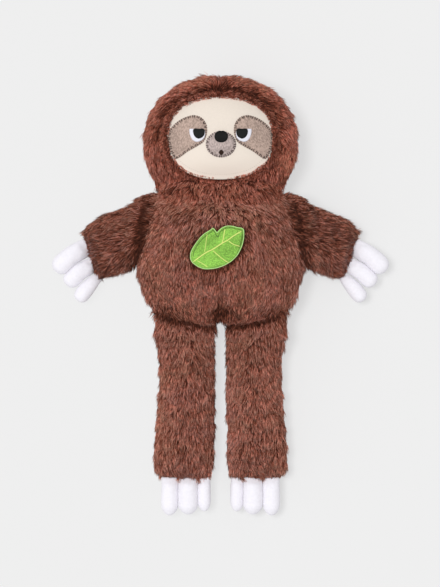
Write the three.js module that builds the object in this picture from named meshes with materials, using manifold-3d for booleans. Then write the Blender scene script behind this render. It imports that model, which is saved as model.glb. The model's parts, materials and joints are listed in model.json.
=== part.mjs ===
// Plush sloth lying on its back: stuffed torso, head, arms and legs of long-pile cloth, with felt
// claws, an appliqued face and a leaf patch. Millimetres; +X is the toy's own left side, +Y points
// to the head, +Z is up, out of the belly. The floor is z = 0.

import * as THREE from 'three';
import { mergeVertices } from 'three/addons/utils/BufferGeometryUtils.js';
import Module from 'manifold-3d';

const wasm = await Module();
wasm.setup();

// Driving dimensions
const FLOOR = 0;
const BODY_SEAM_Z = 38;
const HIP_SEAM_Z = 32;
const CUFF_Z = 18.5;
const ANKLE_Z = 18;
const NECK_Y = 88;
const HIP_Y = -21.9;
const SHOULDER_TOP = new THREE.Vector2(57.5, 86);
const SHOULDER_BOTTOM = new THREE.Vector2(71, 26);
const BODY_CLOTH = 6; // cloth with its pile pressed down
const LIMB_CLOTH = 5;
const PANEL_GAP = 0.3;
const STUFFING_ROOM = 1.2;
const THREAD_RADIUS = 0.6;
const THREAD_SIDES = 6;
const NECK_SEAM_HALF = 50;
const HIP_SEAM_ENDS = [8, 49];

// Each form's cross-section: height = (1 - |u|^fullness)^shoulder, u running from seam to seam
const FRONT_SECTION = { fullness: 2.1, shoulder: 0.75 };
const BACK_SECTION = { fullness: 3.2, shoulder: 0.7 };

// Grid of each form's panels and stuffing
const BODY_GRID = { rows: 13, columns: 12 };
const BODY_CORE_GRID = { rows: 8, columns: 8 };
const ARM_GRID = { rows: 9, columns: 8 };
const LEG_GRID = { rows: 11, columns: 8 };
const LIMB_CORE_GRID = { rows: 7, columns: 6 };

// Stations along each form: y, half width, seam height, front height, back height
const TORSO_STATIONS = [
  [-20.5, 49, HIP_SEAM_Z, 0, 0],
  [-14, 55.5, 33, 14.5, 10],
  [-2, 62.5, 35.5, 28.5, 23.5],
  [12, 67.5, 37.5, 37, 33.5],
  [26, 69.8, BODY_SEAM_Z, 42.5, 38.5],
  [46, 65.5, BODY_SEAM_Z, 44, 38.5],
  [64, 61.4, BODY_SEAM_Z, 40, 36],
  [77, 58.4, BODY_SEAM_Z, 28, 26],
  [84, 56.7, BODY_SEAM_Z, 12, 11],
  [86.8, 54, BODY_SEAM_Z, 0, 0],
];
const HEAD_STATIONS = [
  [89.2, 52, BODY_SEAM_Z, 0, 0],
  [92.5, 53.4, BODY_SEAM_Z, 11, 9],
  [100, 56.8, BODY_SEAM_Z, 24, 21],
  [112, 61.4, BODY_SEAM_Z, 34, 32],
  [128, 63.6, BODY_SEAM_Z, 38.5, 38.5],
  [145, 61.4, BODY_SEAM_Z, 38, 38.5],
  [160, 54.6, BODY_SEAM_Z, 33, 34],
  [172, 42.8, BODY_SEAM_Z, 25, 26],
  [180, 28.6, BODY_SEAM_Z, 15, 15],
  [184.5, 12, BODY_SEAM_Z, 0, 0],
];

// Stations from root to end: upper seam point, lower seam point, seam height, front, back
const ARM_STATIONS = [
  [58.5, 86.2, 72, 26.2, BODY_SEAM_Z, 0, 0],
  [64.8, 82, 77, 23.4, 36.2, 6.5, 6.5],
  [76.4, 76, 84.5, 20, 31.8, 14.5, 14.5],
  [90.4, 69.8, 91.5, 18, 26, 19, 19],
  [103.6, 64, 97.5, 16.8, 20.8, 20, 20.5],
  [111.8, 58.6, 101, 16.6, 18.8, 15, 15],
  [115.6, 52.8, 103, 18.4, CUFF_Z, 0, 0],
];
const LEG_STATIONS = [
  [52, -23.2, 8.5, -23.2, HIP_SEAM_Z, 0, 0],
  [54, -30, 7.2, -30, 30.3, 6.5, 6.5],
  [53, -42, 6.6, -42, 27.2, 15.5, 15],
  [50.3, -62, 6.4, -62, 23, 19.5, 19.5],
  [52, -95, 6.4, -95, 20.2, 19.5, 19.5],
  [54.4, -125, 6.8, -125, 19.6, 19, 19.5],
  [55.3, -143, 7.3, -143, 18.6, 16.5, 17.5],
  [54, -151, 8.2, -151, 18.2, 9, 9.5],
  [51, -154, 9.7, -154, ANKLE_Z, 0, 0],
];

// Face: an oval panel set into the fur hood, with cut patches sewn on in layers
const FACE = { y: 133.2, halfWidth: 45.2, halfHeight: 34.6, fullness: 2.3, recess: 3, thickness: 2 };
const FACE_SEGMENTS = 28;
const PATCH_THICKNESS = 1;
const STITCH_THICKNESS = 0.8;
const LAYER_GAP = 0.3;
const EYE = {
  lidY: 141.2,
  white: { x: 19.4, y: 136.2, radius: 6.2, reach: 1.1 },
  pupil: { x: 18.4, y: 136.9, radius: 4.7 },
};
const EYE_SEGMENTS = 18;
const EYE_PATCH_CENTRE = [26, 135];
const EYE_PATCH_OUTLINE = [
  [43.2, 137.7], [35.1, 147.5], [23.2, 152.4], [15.6, 149.6], [11.5, 141.1],
  [13.9, 130.5], [26.6, 122.4], [37.2, 115.9], [41.2, 121.2], [43.2, 129.2],
];
const MUZZLE = { y: 127.9, halfWidth: 13.2, halfHeight: 11, thickness: 1.6 };
const NOSE = { y: 135, halfWidth: 6.1, halfHeight: 5.2, thickness: 1.8 };
const MOUTH = { y: 120.9, halfWidth: 2.4, halfHeight: 2.6, thickness: 0.8 };

// Leaf on the chest
const LEAF_OUTLINE = [
  [-25.1, 31], [-25.1, 34.9], [-23, 40.8], [-20, 45.9], [-14.9, 50.2], [-10.6, 53.6], [-5.5, 57],
  [-2.1, 54.2], [0.9, 57.8], [5.1, 58.7], [12.3, 57.8], [19.1, 56.1], [19.6, 48.5], [18.3, 42.5],
  [15.7, 34.9], [10.6, 28.9], [5.1, 25.5], [-2.1, 23], [-8.9, 22.1], [-15.7, 23], [-22.5, 26.4],
];
const LEAF_CENTRE = [-2, 39];
const LEAF_BORDER = 2.4;
const LEAF_MEAN_RADIUS = 21;
const LEAF_THICKNESS = 1;
const VEIN_WIDTH = 1.5;
const VEIN_THICKNESS = 0.7;
const LEAF_VEINS = [
  [[-20, 30.6], [-11.5, 36.5], [-5.5, 39.1], [1.3, 43.4], [8.9, 47.6], [15, 51.6]],
  [[-12.3, 36], [-13.2, 43], [-10.9, 48.4]],
  [[1.3, 42.6], [2.6, 50.2], [3.4, 53.4]],
  [[6.4, 46.2], [11.5, 42.5], [14, 41.4]],
  [[-6.4, 37.8], [0.4, 32.3], [4.4, 30.4]],
  [[-17, 32.5], [-14.6, 29.2], [-13, 27.6]],
];

// Claws: felt tubes, flat where they are sewn in; stations of distance, half width, half thickness
const CLAW_SIDES = 8;
const HAND_CLAW_STATIONS = [
  [0, 0.36, 0.16], [0.13, 0.54, 0.42], [0.3, 0.78, 0.74], [0.5, 0.96, 0.93],
  [0.72, 1, 0.96], [0.87, 0.92, 0.84], [0.96, 0.62, 0.56], [1, 0.24, 0.2],
];
const FOOT_CLAW_STATIONS = [
  [0, 0.6, 0.18], [0.09, 0.8, 0.5], [0.28, 0.95, 0.88], [0.55, 1, 0.97],
  [0.78, 0.99, 0.92], [0.89, 0.74, 0.68], [0.96, 0.44, 0.4], [1, 0.16, 0.15],
];
const CLAW_FLATNESS = 0.9;
const HAND_CLAWS = {
  upper: { root: [114.8, 45.5], tip: [140.9, 20.6], width: 17.2 },
  middle: { root: [109.2, 30], tip: [131.4, 8.8], width: 15 },
  lower: { root: [104.3, 17.2], tip: [121.8, -4.6], width: 13.6 },
};
const FOOT_CLAWS = {
  outer: { root: [43.2, -155.2], tip: [43.4, -187.5], width: 15 },
  middle: { root: [27.7, -155.2], tip: [27.6, -186.7], width: 17.6 },
  inner: { root: [14, -155.2], tip: [13.9, -184.1], width: 11.4 },
};

// Materials
function cloth(color, roughness = 0.95) {
  return new THREE.MeshStandardMaterial({ color, roughness, metalness: 0 });
}
const furCloth = cloth(0x80503f);
const stuffingFibre = cloth(0xf0efe9);
const faceCloth = cloth(0xece1d4);
const patchCloth = cloth(0xb8a094);
const muzzleCloth = cloth(0xbbaba7);
const blackThread = cloth(0x1c1e1e, 0.6);
const whiteThread = cloth(0xf0f0f6, 0.7);
const brownThread = cloth(0x3a2218, 0.8);
const clawFelt = cloth(0xf0eef5);
const leafFelt = cloth(0x91c95d);
const leafThread = cloth(0xcde884, 0.7);

// Mesh tools
function bodyFrom(points, triangles) {
  const geometry = new THREE.BufferGeometry();
  geometry.setAttribute('position', new THREE.Float32BufferAttribute(points.flatMap((p) => p.toArray()), 3));
  geometry.setIndex(triangles);
  return facingOut(mergeVertices(geometry, 1e-4));
}

function facingOut(geometry) {
  const position = geometry.attributes.position;
  const index = geometry.index.array;
  const corner = [new THREE.Vector3(), new THREE.Vector3(), new THREE.Vector3()];
  const kept = [];
  let volume = 0;
  for (let i = 0; i < index.length; i += 3) {
    const [a, b, c] = [index[i], index[i + 1], index[i + 2]];
    if (a === b || b === c || c === a) continue;
    corner.forEach((point, k) => point.fromBufferAttribute(position, index[i + k]));
    volume += corner[0].dot(corner[1].clone().cross(corner[2]));
    kept.push([a, b, c]);
  }
  geometry.setIndex(kept.flatMap(([a, b, c]) => (volume > 0 ? [a, b, c] : [a, c, b])));
  return geometry;
}

function mirrored(geometry) {
  return facingOut(geometry.clone().scale(-1, 1, 1));
}

function solidOf(geometry) {
  const bare = geometry.clone();
  bare.deleteAttribute('normal');
  bare.deleteAttribute('uv');
  const merged = mergeVertices(bare, 1e-4);
  return new wasm.Manifold(new wasm.Mesh({
    numProp: 3,
    vertProperties: new Float32Array(merged.attributes.position.array),
    triVerts: new Uint32Array(merged.index.array),
  }));
}

function geometryOf(solid) {
  const mesh = solid.getMesh();
  const geometry = new THREE.BufferGeometry();
  geometry.setAttribute('position', new THREE.BufferAttribute(new Float32Array(mesh.vertProperties), 3));
  geometry.setIndex(new THREE.BufferAttribute(new Uint32Array(mesh.triVerts), 1));
  return geometry;
}

// Quads between two rows of point numbers
function strip(first, second) {
  return first.slice(1).flatMap((_, j) => [
    first[j], first[j + 1], second[j + 1],
    first[j], second[j + 1], second[j],
  ]);
}

const numbered = (count, start) => Array.from({ length: count }, (_, i) => start + i);

// Stuffed forms: two domes, front and back, over one seam line
function stuffedForm(stations) {
  const curve = (points) => new THREE.CatmullRomCurve3(points, false, 'catmullrom');
  return {
    upper: curve(stations.map(([ax, ay, , , z]) => new THREE.Vector3(ax, ay, z))),
    lower: curve(stations.map(([, , bx, by, z]) => new THREE.Vector3(bx, by, z))),
    heights: curve(stations.map((s) => new THREE.Vector3(s[5], s[6], 0))),
  };
}

function symmetricForm(stations) {
  return stuffedForm(stations.map(([y, half, z, front, back]) => [-half, y, half, y, z, front, back]));
}

function sectionHeight(u, side) {
  const { fullness, shoulder } = side > 0 ? FRONT_SECTION : BACK_SECTION;
  return Math.max(0, 1 - Math.abs(u) ** fullness) ** shoulder;
}

// Where along the form both domes are deeper than the inset
function spanInside(form, inset) {
  if (inset === 0) return [0, 1];
  const deep = (t) => {
    const height = form.heights.getPoint(t);
    return Math.min(height.x, height.y) > inset;
  };
  const steps = numbered(401, 0).map((i) => i / 400).filter(deep);
  return [steps[0], steps[steps.length - 1]];
}

function domePoints(form, side, inset, lift, grid) {
  const [from, to] = spanInside(form, inset);
  const points = [];
  for (let i = 0; i <= grid.rows; i += 1) {
    const t = from + (to - from) * (i / grid.rows);
    const upper = form.upper.getPoint(t);
    const lower = form.lower.getPoint(t);
    const middle = upper.clone().lerp(lower, 0.5);
    const reach = lower.clone().sub(middle);
    reach.multiplyScalar(1 - inset / reach.length());
    const heights = form.heights.getPoint(t);
    const atEnd = i === 0 || i === grid.rows;
    const height = atEnd ? 0 : Math.max(0, (side > 0 ? heights.x : heights.y) - inset);
    for (let j = 0; j <= grid.columns; j += 1) {
      const u = -Math.cos((Math.PI * j) / grid.columns);
      const atSeam = j === 0 || j === grid.columns;
      const point = middle.clone().addScaledVector(reach, u);
      point.z += side * (lift + (atSeam ? 0 : height * sectionHeight(u, side)));
      point.z = Math.max(point.z, FLOOR);
      points.push(point);
    }
  }
  return points;
}

function gridRows(grid, start) {
  const width = grid.columns + 1;
  return numbered(grid.rows + 1, 0).map((i) => numbered(width, start + i * width));
}

function rimOf(rows) {
  const last = rows.length - 1;
  return [
    ...rows[0],
    ...rows.slice(1, last).map((row) => row[row.length - 1]),
    ...[...rows[last]].reverse(),
    ...rows.slice(1, last).reverse().map((row) => row[0]),
    rows[0][0],
  ];
}

const sheetOf = (rows) => rows.slice(1).flatMap((row, i) => strip(rows[i], row));
const reversedSheet = (triangles) => [...triangles].reverse();

// One sewn panel: the outer dome, the inner dome a cloth's thickness in, and the seam edge between
function panel(form, side, clothThickness, grid) {
  const outer = domePoints(form, side, 0, PANEL_GAP / 2, grid);
  const inner = domePoints(form, side, clothThickness, PANEL_GAP / 2, grid);
  const outerRows = gridRows(grid, 0);
  const innerRows = gridRows(grid, outer.length);
  return bodyFrom([...outer, ...inner], [
    ...sheetOf(outerRows),
    ...reversedSheet(sheetOf(innerRows)),
    ...reversedSheet(strip(rimOf(outerRows), rimOf(innerRows))),
  ]);
}

function stuffing(form, clothThickness, grid) {
  const inset = clothThickness + STUFFING_ROOM;
  const front = domePoints(form, 1, inset, 0, grid);
  const back = domePoints(form, -1, inset, 0, grid);
  return bodyFrom([...front, ...back], [
    ...sheetOf(gridRows(grid, 0)),
    ...reversedSheet(sheetOf(gridRows(grid, front.length))),
  ]);
}

// Height of a symmetric form's front at a point
function frontHeight(form, x, y) {
  let [low, high] = [0, 1];
  for (let i = 0; i < 30; i += 1) {
    const middle = (low + high) / 2;
    if (form.lower.getPoint(middle).y < y) low = middle;
    else high = middle;
  }
  const edge = form.lower.getPoint(low);
  return edge.z + form.heights.getPoint(low).x * sectionHeight(x / edge.x, 1);
}

// Thin pieces that lie on a form: slabs round a centre, bands along an outline, ribbons along a line
function roundedOutline(corners, count) {
  const curve = new THREE.CatmullRomCurve3(corners.map(([x, y]) => new THREE.Vector3(x, y, 0)), true);
  return numbered(count, 0).map((i) => {
    const point = curve.getPointAt(i / count);
    return [point.x, point.y];
  });
}

function ovalOutline({ x = 0, y, halfWidth, halfHeight, fullness = 2 }, count) {
  return numbered(count, 0).map((i) => {
    const angle = (2 * Math.PI * i) / count;
    const [cos, sin] = [Math.cos(angle), Math.sin(angle)];
    const radius = (Math.abs(cos) ** fullness + Math.abs(sin) ** fullness) ** (-1 / fullness);
    return [x + halfWidth * radius * cos, y + halfHeight * radius * sin];
  });
}

function drawnTo(outline, [cx, cy], share) {
  return outline.map(([x, y]) => [cx + (x - cx) * share, cy + (y - cy) * share]);
}

const closedLoop = (count, start) => [...numbered(count, start), start];

function slab(outline, centre, surface, low, high, shares = [1, 0.7, 0.36]) {
  const count = outline.length;
  const points = [];
  for (const level of [high, low]) {
    for (const share of shares) {
      for (const [x, y] of drawnTo(outline, centre, share)) {
        points.push(new THREE.Vector3(x, y, surface(x, y) + level));
      }
    }
    points.push(new THREE.Vector3(centre[0], centre[1], surface(...centre) + level));
  }
  const faceOf = (start) => {
    const rings = shares.map((_, k) => closedLoop(count, start + k * count));
    const pole = start + shares.length * count;
    const lastRing = rings[rings.length - 1];
    return [...sheetOf(rings), ...strip(lastRing, lastRing.map(() => pole))];
  };
  const lowStart = shares.length * count + 1;
  return bodyFrom(points, [
    ...faceOf(0),
    ...reversedSheet(faceOf(lowStart)),
    ...strip(closedLoop(count, lowStart), closedLoop(count, 0)),
  ]);
}

function band(outline, innerOutline, surface, low, high) {
  const loops = [[outline, low], [outline, high], [innerOutline, high], [innerOutline, low], [outline, low]];
  const points = loops.flatMap(([line, level]) => (
    line.map(([x, y]) => new THREE.Vector3(x, y, surface(x, y) + level))
  ));
  return bodyFrom(points, sheetOf(loops.map((_, k) => closedLoop(outline.length, k * outline.length))));
}

function ribbon(line, width, surface, low, high) {
  const points = [];
  line.forEach(([x, y], i) => {
    const [before, after] = [line[Math.max(0, i - 1)], line[Math.min(line.length - 1, i + 1)]];
    const along = new THREE.Vector2(after[0] - before[0], after[1] - before[1]).normalize();
    const across = [(-along.y * width) / 2, (along.x * width) / 2];
    for (const [sign, level] of [[1, low], [1, high], [-1, high], [-1, low]]) {
      const [px, py] = [x + sign * across[0], y + sign * across[1]];
      points.push(new THREE.Vector3(px, py, surface(px, py) + level));
    }
  });
  const rings = line.map((_, i) => closedLoop(4, i * 4));
  const cap = (start) => [start, start + 1, start + 2, start, start + 2, start + 3];
  return bodyFrom(points, [...sheetOf(rings), ...reversedSheet(cap(0)), ...cap((line.length - 1) * 4)]);
}

// A felt claw along +Y from its sewn root
function clawGeometry(length, width, stations) {
  const points = stations.flatMap(([share, wide, thick]) => numbered(CLAW_SIDES, 0).map((k) => {
    const angle = (2 * Math.PI * (k + 0.5)) / CLAW_SIDES;
    const half = width / 2;
    return new THREE.Vector3(
      half * wide * Math.cos(angle),
      length * share,
      half * thick * CLAW_FLATNESS * Math.sin(angle),
    );
  }));
  const rings = stations.map((_, i) => closedLoop(CLAW_SIDES, i * CLAW_SIDES));
  const cap = (start) => numbered(CLAW_SIDES - 2, 1).flatMap((k) => [start, start + k, start + k + 1]);
  const last = (stations.length - 1) * CLAW_SIDES;
  return bodyFrom(points, [...sheetOf(rings), ...reversedSheet(cap(0)), ...cap(last)]);
}

function threadGeometry(from, to) {
  const run = to.clone().sub(from);
  const geometry = new THREE.CylinderGeometry(THREAD_RADIUS, THREAD_RADIUS, run.length(), THREAD_SIDES);
  const turn = new THREE.Quaternion().setFromUnitVectors(new THREE.Vector3(0, 1, 0), run.clone().normalize());
  geometry.applyQuaternion(turn);
  const middle = from.clone().lerp(to, 0.5);
  return geometry.translate(middle.x, middle.y, middle.z);
}

// Assembly
const sloth = new THREE.Group();

function groupIn(parent) {
  const group = new THREE.Group();
  parent.add(group);
  return group;
}

function addPiece(group, name, geometry, material) {
  const mesh = new THREE.Mesh(geometry, material);
  mesh.name = name;
  group.add(mesh);
  return mesh;
}

const SIDES = [
  { name: 'left', sign: 1 },
  { name: 'right', sign: -1 },
];
const forSide = (geometry, sign) => (sign > 0 ? geometry : mirrored(geometry));

// Torso with its leaf and the thread of the five seams that the head and limbs turn on
const torsoForm = symmetricForm(TORSO_STATIONS);
const chest = (x, y) => frontHeight(torsoForm, x, y);
const torso = groupIn(sloth);
addPiece(torso, 'torso_front_panel', panel(torsoForm, 1, BODY_CLOTH, BODY_GRID), furCloth);
addPiece(torso, 'torso_back_panel', panel(torsoForm, -1, BODY_CLOTH, BODY_GRID), furCloth);
addPiece(torso, 'torso_stuffing', stuffing(torsoForm, BODY_CLOTH, BODY_CORE_GRID), stuffingFibre);

const leafOutline = roundedOutline(LEAF_OUTLINE, 32);
const leafInside = drawnTo(leafOutline, LEAF_CENTRE, 1 - LEAF_BORDER / LEAF_MEAN_RADIUS);
const onLeaf = LAYER_GAP * 2 + LEAF_THICKNESS;
const leafSlab = slab(leafOutline, LEAF_CENTRE, chest, LAYER_GAP, LAYER_GAP + LEAF_THICKNESS);
addPiece(torso, 'leaf_patch', leafSlab, leafFelt);
const border = band(leafOutline, leafInside, chest, onLeaf, onLeaf + VEIN_THICKNESS);
addPiece(torso, 'leaf_border', border, leafThread);
const veins = LEAF_VEINS
  .map((line) => solidOf(ribbon(line, VEIN_WIDTH, chest, onLeaf, onLeaf + VEIN_THICKNESS)))
  .reduce((joined, vein) => joined.add(vein));
addPiece(torso, 'leaf_veins', geometryOf(veins), leafThread);

addPiece(torso, 'neck_seam', threadGeometry(
  new THREE.Vector3(-NECK_SEAM_HALF, NECK_Y, BODY_SEAM_Z),
  new THREE.Vector3(NECK_SEAM_HALF, NECK_Y, BODY_SEAM_Z),
), brownThread);
for (const { name, sign } of SIDES) {
  const shoulderEnds = [SHOULDER_TOP, SHOULDER_BOTTOM].map(({ x, y }) => (
    new THREE.Vector3(sign * x, y, BODY_SEAM_Z)
  ));
  addPiece(torso, `shoulder_seam_${name}`, threadGeometry(...shoulderEnds), brownThread);
  const hipEnds = HIP_SEAM_ENDS.map((x) => new THREE.Vector3(sign * x, HIP_Y, HIP_SEAM_Z));
  addPiece(torso, `hip_seam_${name}`, threadGeometry(...hipEnds), brownThread);
}

// Head: a fur hood with an oval opening, and the face panel set into it
const headForm = symmetricForm(HEAD_STATIONS);
const hood = (x, y) => frontHeight(headForm, x, y);
const opening = new THREE.Shape(ovalOutline({
  ...FACE,
  halfWidth: FACE.halfWidth + PANEL_GAP,
  halfHeight: FACE.halfHeight + PANEL_GAP,
}, FACE_SEGMENTS).map(([x, y]) => new THREE.Vector2(x, y)));
const openingCutter = new THREE.ExtrudeGeometry(opening, { depth: 50, bevelEnabled: false });
openingCutter.translate(0, 0, BODY_SEAM_Z + BODY_CLOTH);

const head = groupIn(sloth);
const hoodPanel = solidOf(panel(headForm, 1, BODY_CLOTH, BODY_GRID)).subtract(solidOf(openingCutter));
addPiece(head, 'head_front_panel', geometryOf(hoodPanel), furCloth);
addPiece(head, 'head_back_panel', panel(headForm, -1, BODY_CLOTH, BODY_GRID), furCloth);
addPiece(head, 'head_stuffing', stuffing(headForm, BODY_CLOTH, BODY_CORE_GRID), stuffingFibre);

const faceTop = (x, y) => hood(x, y) - FACE.recess;
const faceCentre = [0, FACE.y];
addPiece(
  head,
  'face_panel',
  slab(ovalOutline(FACE, FACE_SEGMENTS), faceCentre, faceTop, -FACE.thickness, 0, [1, 0.84, 0.6, 0.3]),
  faceCloth,
);

const onFace = LAYER_GAP;
const onPatch = onFace + PATCH_THICKNESS + LAYER_GAP;
const onWhite = onPatch + STITCH_THICKNESS + LAYER_GAP;
const onMuzzle = onFace + MUZZLE.thickness + LAYER_GAP;
const eyePatchOutline = roundedOutline(EYE_PATCH_OUTLINE, 22);
const eyeCentre = [EYE.pupil.x, EYE.pupil.y - 1];

// The part of a circle under the straight upper lid, reaching a little further outwards
function lidded({ x, y, radius, reach = 1 }) {
  return numbered(EYE_SEGMENTS, 0).map((i) => {
    const angle = (2 * Math.PI * i) / EYE_SEGMENTS;
    const stretch = Math.cos(angle) > 0 ? reach : 1;
    return [x + radius * stretch * Math.cos(angle), Math.min(y + radius * Math.sin(angle), EYE.lidY)];
  });
}

for (const { name, sign } of SIDES) {
  const patch = slab(eyePatchOutline, EYE_PATCH_CENTRE, faceTop, onFace, onFace + PATCH_THICKNESS);
  addPiece(head, `eye_patch_${name}`, forSide(patch, sign), patchCloth);
  const white = slab(lidded(EYE.white), eyeCentre, faceTop, onPatch, onPatch + STITCH_THICKNESS, [1, 0.5]);
  addPiece(head, `eye_white_${name}`, forSide(white, sign), whiteThread);
  const pupil = slab(lidded(EYE.pupil), eyeCentre, faceTop, onWhite, onWhite + STITCH_THICKNESS, [1, 0.5]);
  addPiece(head, `pupil_${name}`, forSide(pupil, sign), blackThread);
}
addPiece(
  head,
  'muzzle_patch',
  slab(ovalOutline(MUZZLE, 20), [0, MUZZLE.y], faceTop, onFace, onFace + MUZZLE.thickness),
  muzzleCloth,
);
for (const [name, shape, material, count] of [
  ['nose_patch', NOSE, blackThread, 16],
  ['mouth_patch', MOUTH, brownThread, 8],
]) {
  addPiece(
    head,
    name,
    slab(ovalOutline(shape, count), [0, shape.y], faceTop, onMuzzle, onMuzzle + shape.thickness, [1, 0.5]),
    material,
  );
}

// Limbs and their claws
function addClaws(group, prefix, side, claws, stations, height) {
  for (const [name, { root, tip, width }] of Object.entries(claws)) {
    const run = new THREE.Vector2(tip[0] - root[0], tip[1] - root[1]);
    const geometry = clawGeometry(run.length(), width, stations);
    const claw = addPiece(group, `${prefix}_${side.name}_${name}`, geometry, clawFelt);
    claw.position.set(side.sign * root[0], root[1], height);
    claw.rotation.z = Math.atan2(-side.sign * run.x, run.y);
  }
}

function addLimb(name, stations, grid, side) {
  const form = stuffedForm(stations);
  const limb = groupIn(sloth);
  const pieces = {
    front_panel: [panel(form, 1, LIMB_CLOTH, grid), furCloth],
    back_panel: [panel(form, -1, LIMB_CLOTH, grid), furCloth],
    stuffing: [stuffing(form, LIMB_CLOTH, LIMB_CORE_GRID), stuffingFibre],
  };
  for (const [piece, [geometry, material]] of Object.entries(pieces)) {
    addPiece(limb, `${name}_${side.name}_${piece}`, forSide(geometry, side.sign), material);
  }
  return limb;
}

for (const side of SIDES) {
  const arm = addLimb('arm', ARM_STATIONS, ARM_GRID, side);
  addClaws(arm, 'hand_claw', side, HAND_CLAWS, HAND_CLAW_STATIONS, CUFF_Z);
  const leg = addLimb('leg', LEG_STATIONS, LEG_GRID, side);
  addClaws(leg, 'foot_claw', side, FOOT_CLAWS, FOOT_CLAW_STATIONS, ANKLE_Z);
}

export default sloth;
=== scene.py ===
"""Plush sloth: long-pile coat, stitched face, felt claws and a leaf patch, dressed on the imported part."""

import json
import math

import bmesh
import bpy
import numpy as np
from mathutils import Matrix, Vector
from mathutils.bvhtree import BVHTree
from mathutils.kdtree import KDTree


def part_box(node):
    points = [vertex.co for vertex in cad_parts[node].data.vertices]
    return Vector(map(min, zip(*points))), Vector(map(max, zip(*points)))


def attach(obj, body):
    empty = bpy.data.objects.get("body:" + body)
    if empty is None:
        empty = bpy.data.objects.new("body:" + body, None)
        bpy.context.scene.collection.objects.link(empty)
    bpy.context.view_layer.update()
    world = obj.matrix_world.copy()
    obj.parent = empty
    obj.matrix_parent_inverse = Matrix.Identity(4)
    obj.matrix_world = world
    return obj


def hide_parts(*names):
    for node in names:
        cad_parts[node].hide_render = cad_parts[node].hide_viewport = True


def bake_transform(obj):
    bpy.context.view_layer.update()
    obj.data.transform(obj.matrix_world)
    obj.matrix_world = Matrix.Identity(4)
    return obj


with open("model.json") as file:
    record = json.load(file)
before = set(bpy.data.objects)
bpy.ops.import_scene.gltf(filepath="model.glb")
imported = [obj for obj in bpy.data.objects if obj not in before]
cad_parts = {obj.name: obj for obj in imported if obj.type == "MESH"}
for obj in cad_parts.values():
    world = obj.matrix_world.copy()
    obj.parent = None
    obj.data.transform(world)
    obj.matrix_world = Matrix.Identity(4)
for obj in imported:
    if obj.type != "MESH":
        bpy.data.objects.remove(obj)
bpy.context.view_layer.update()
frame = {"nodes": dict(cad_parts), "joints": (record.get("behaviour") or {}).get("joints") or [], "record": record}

bl_info = {
    "name": "Plush Sloth",
    "version": (1, 0, 0),
    "blender": (4, 5, 0),
    "location": "View3D > Sidebar > Plush",
    "description": "Fur coat, face, claws, leaf patch and stage for a stuffed sloth",
    "category": "Object",
}

MM = 0.001
UP = np.array([0, 0, 1.0])
PHOTO_SIZE = (440, 587)
PHOTO_MIDDLE = (220.5, 295.0)
SIDES = {"left": 1, "right": -1}
LIMBS = [f"{limb}_{side}" for limb in ("arm", "leg") for side in SIDES]
JOINTS = {joint["name"]: joint for joint in frame["joints"]}


# Settings that a user would change

class CoatSettings(bpy.types.PropertyGroup):
    pile: bpy.props.FloatProperty(
        name="Pile", description="Length of the fur", default=9.5 * MM, unit="LENGTH")
    lock_width: bpy.props.FloatProperty(
        name="Lock width", description="Width of one lock of fur", default=0.56 * MM, unit="LENGTH")
    density: bpy.props.FloatProperty(
        name="Density", description="Locks to a square millimetre of cloth", default=1.7)
    lift: bpy.props.FloatProperty(
        name="Lift", description="Angle between fur and cloth",
        default=math.radians(31), unit="ROTATION")
    clumping: bpy.props.FloatProperty(
        name="Clumping", description="How far locks draw together at their tips", default=0.42,
        min=0, max=1, subtype="FACTOR")
    seed: bpy.props.IntProperty(name="Seed", description="Start of the random draws", default=7)
    shade_range: bpy.props.FloatVectorProperty(
        name="Shade range", description="Brightness of the darkest and of the lightest lock", size=2,
        default=(0.16, 1.8))
    # The root colour is partly the dye and partly painted shade deep in the pile.
    root_colour: bpy.props.FloatVectorProperty(
        name="Root colour", description="Colour next to the cloth",
        default=(0.17, 0.048, 0.029), subtype="COLOR")
    middle_colour: bpy.props.FloatVectorProperty(
        name="Middle colour", description="Colour half way up",
        default=(0.38, 0.125, 0.086), subtype="COLOR")
    tip_colour: bpy.props.FloatVectorProperty(
        name="Tip colour", description="Colour of the tan tips",
        default=(0.5, 0.3, 0.205), subtype="COLOR")
    cool_colour: bpy.props.FloatVectorProperty(
        name="Cool colour", description="Colour of the greyer tips",
        default=(0.5, 0.288, 0.245), subtype="COLOR")
    warm_colour: bpy.props.FloatVectorProperty(
        name="Warm colour", description="Colour of the redder locks",
        default=(0.43, 0.115, 0.058), subtype="COLOR")


class FaceSettings(bpy.types.PropertyGroup):
    cloth_colour: bpy.props.FloatVectorProperty(
        name="Face cloth", description="Colour of the face panel",
        default=(0.8, 0.715, 0.63), subtype="COLOR")
    patch_colour: bpy.props.FloatVectorProperty(
        name="Patches", description="Colour of the eye patches",
        default=(0.54, 0.4, 0.335), subtype="COLOR")
    muzzle_colour: bpy.props.FloatVectorProperty(
        name="Muzzle", description="Colour of the muzzle patch",
        default=(0.57, 0.465, 0.435), subtype="COLOR")
    stitch_colour: bpy.props.FloatVectorProperty(
        name="Stitches", description="Thread round the patches",
        default=(0.05, 0.034, 0.028), subtype="COLOR")


class ClawSettings(bpy.types.PropertyGroup):
    felt_colour: bpy.props.FloatVectorProperty(
        name="Felt", description="Colour of the claws",
        default=(0.9, 0.88, 0.94), subtype="COLOR")
    wrinkle: bpy.props.FloatProperty(
        name="Wrinkle", description="Depth of the creases in the felt", default=0.2 * MM, unit="LENGTH")
    fullness: bpy.props.FloatProperty(
        name="Fullness", description="Width of the stuffed claw against its solid", default=1.07)


class LeafSettings(bpy.types.PropertyGroup):
    felt_colour: bpy.props.FloatVectorProperty(
        name="Felt", description="Colour of the leaf",
        default=(0.33, 0.68, 0.107), subtype="COLOR")
    edge_colour: bpy.props.FloatVectorProperty(
        name="Edge thread", description="Colour of the stitched edge",
        default=(0.6, 0.9, 0.34), subtype="COLOR")
    vein_colour: bpy.props.FloatVectorProperty(
        name="Vein thread", description="Colour of the veins",
        default=(0.84, 0.92, 0.26), subtype="COLOR")


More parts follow.
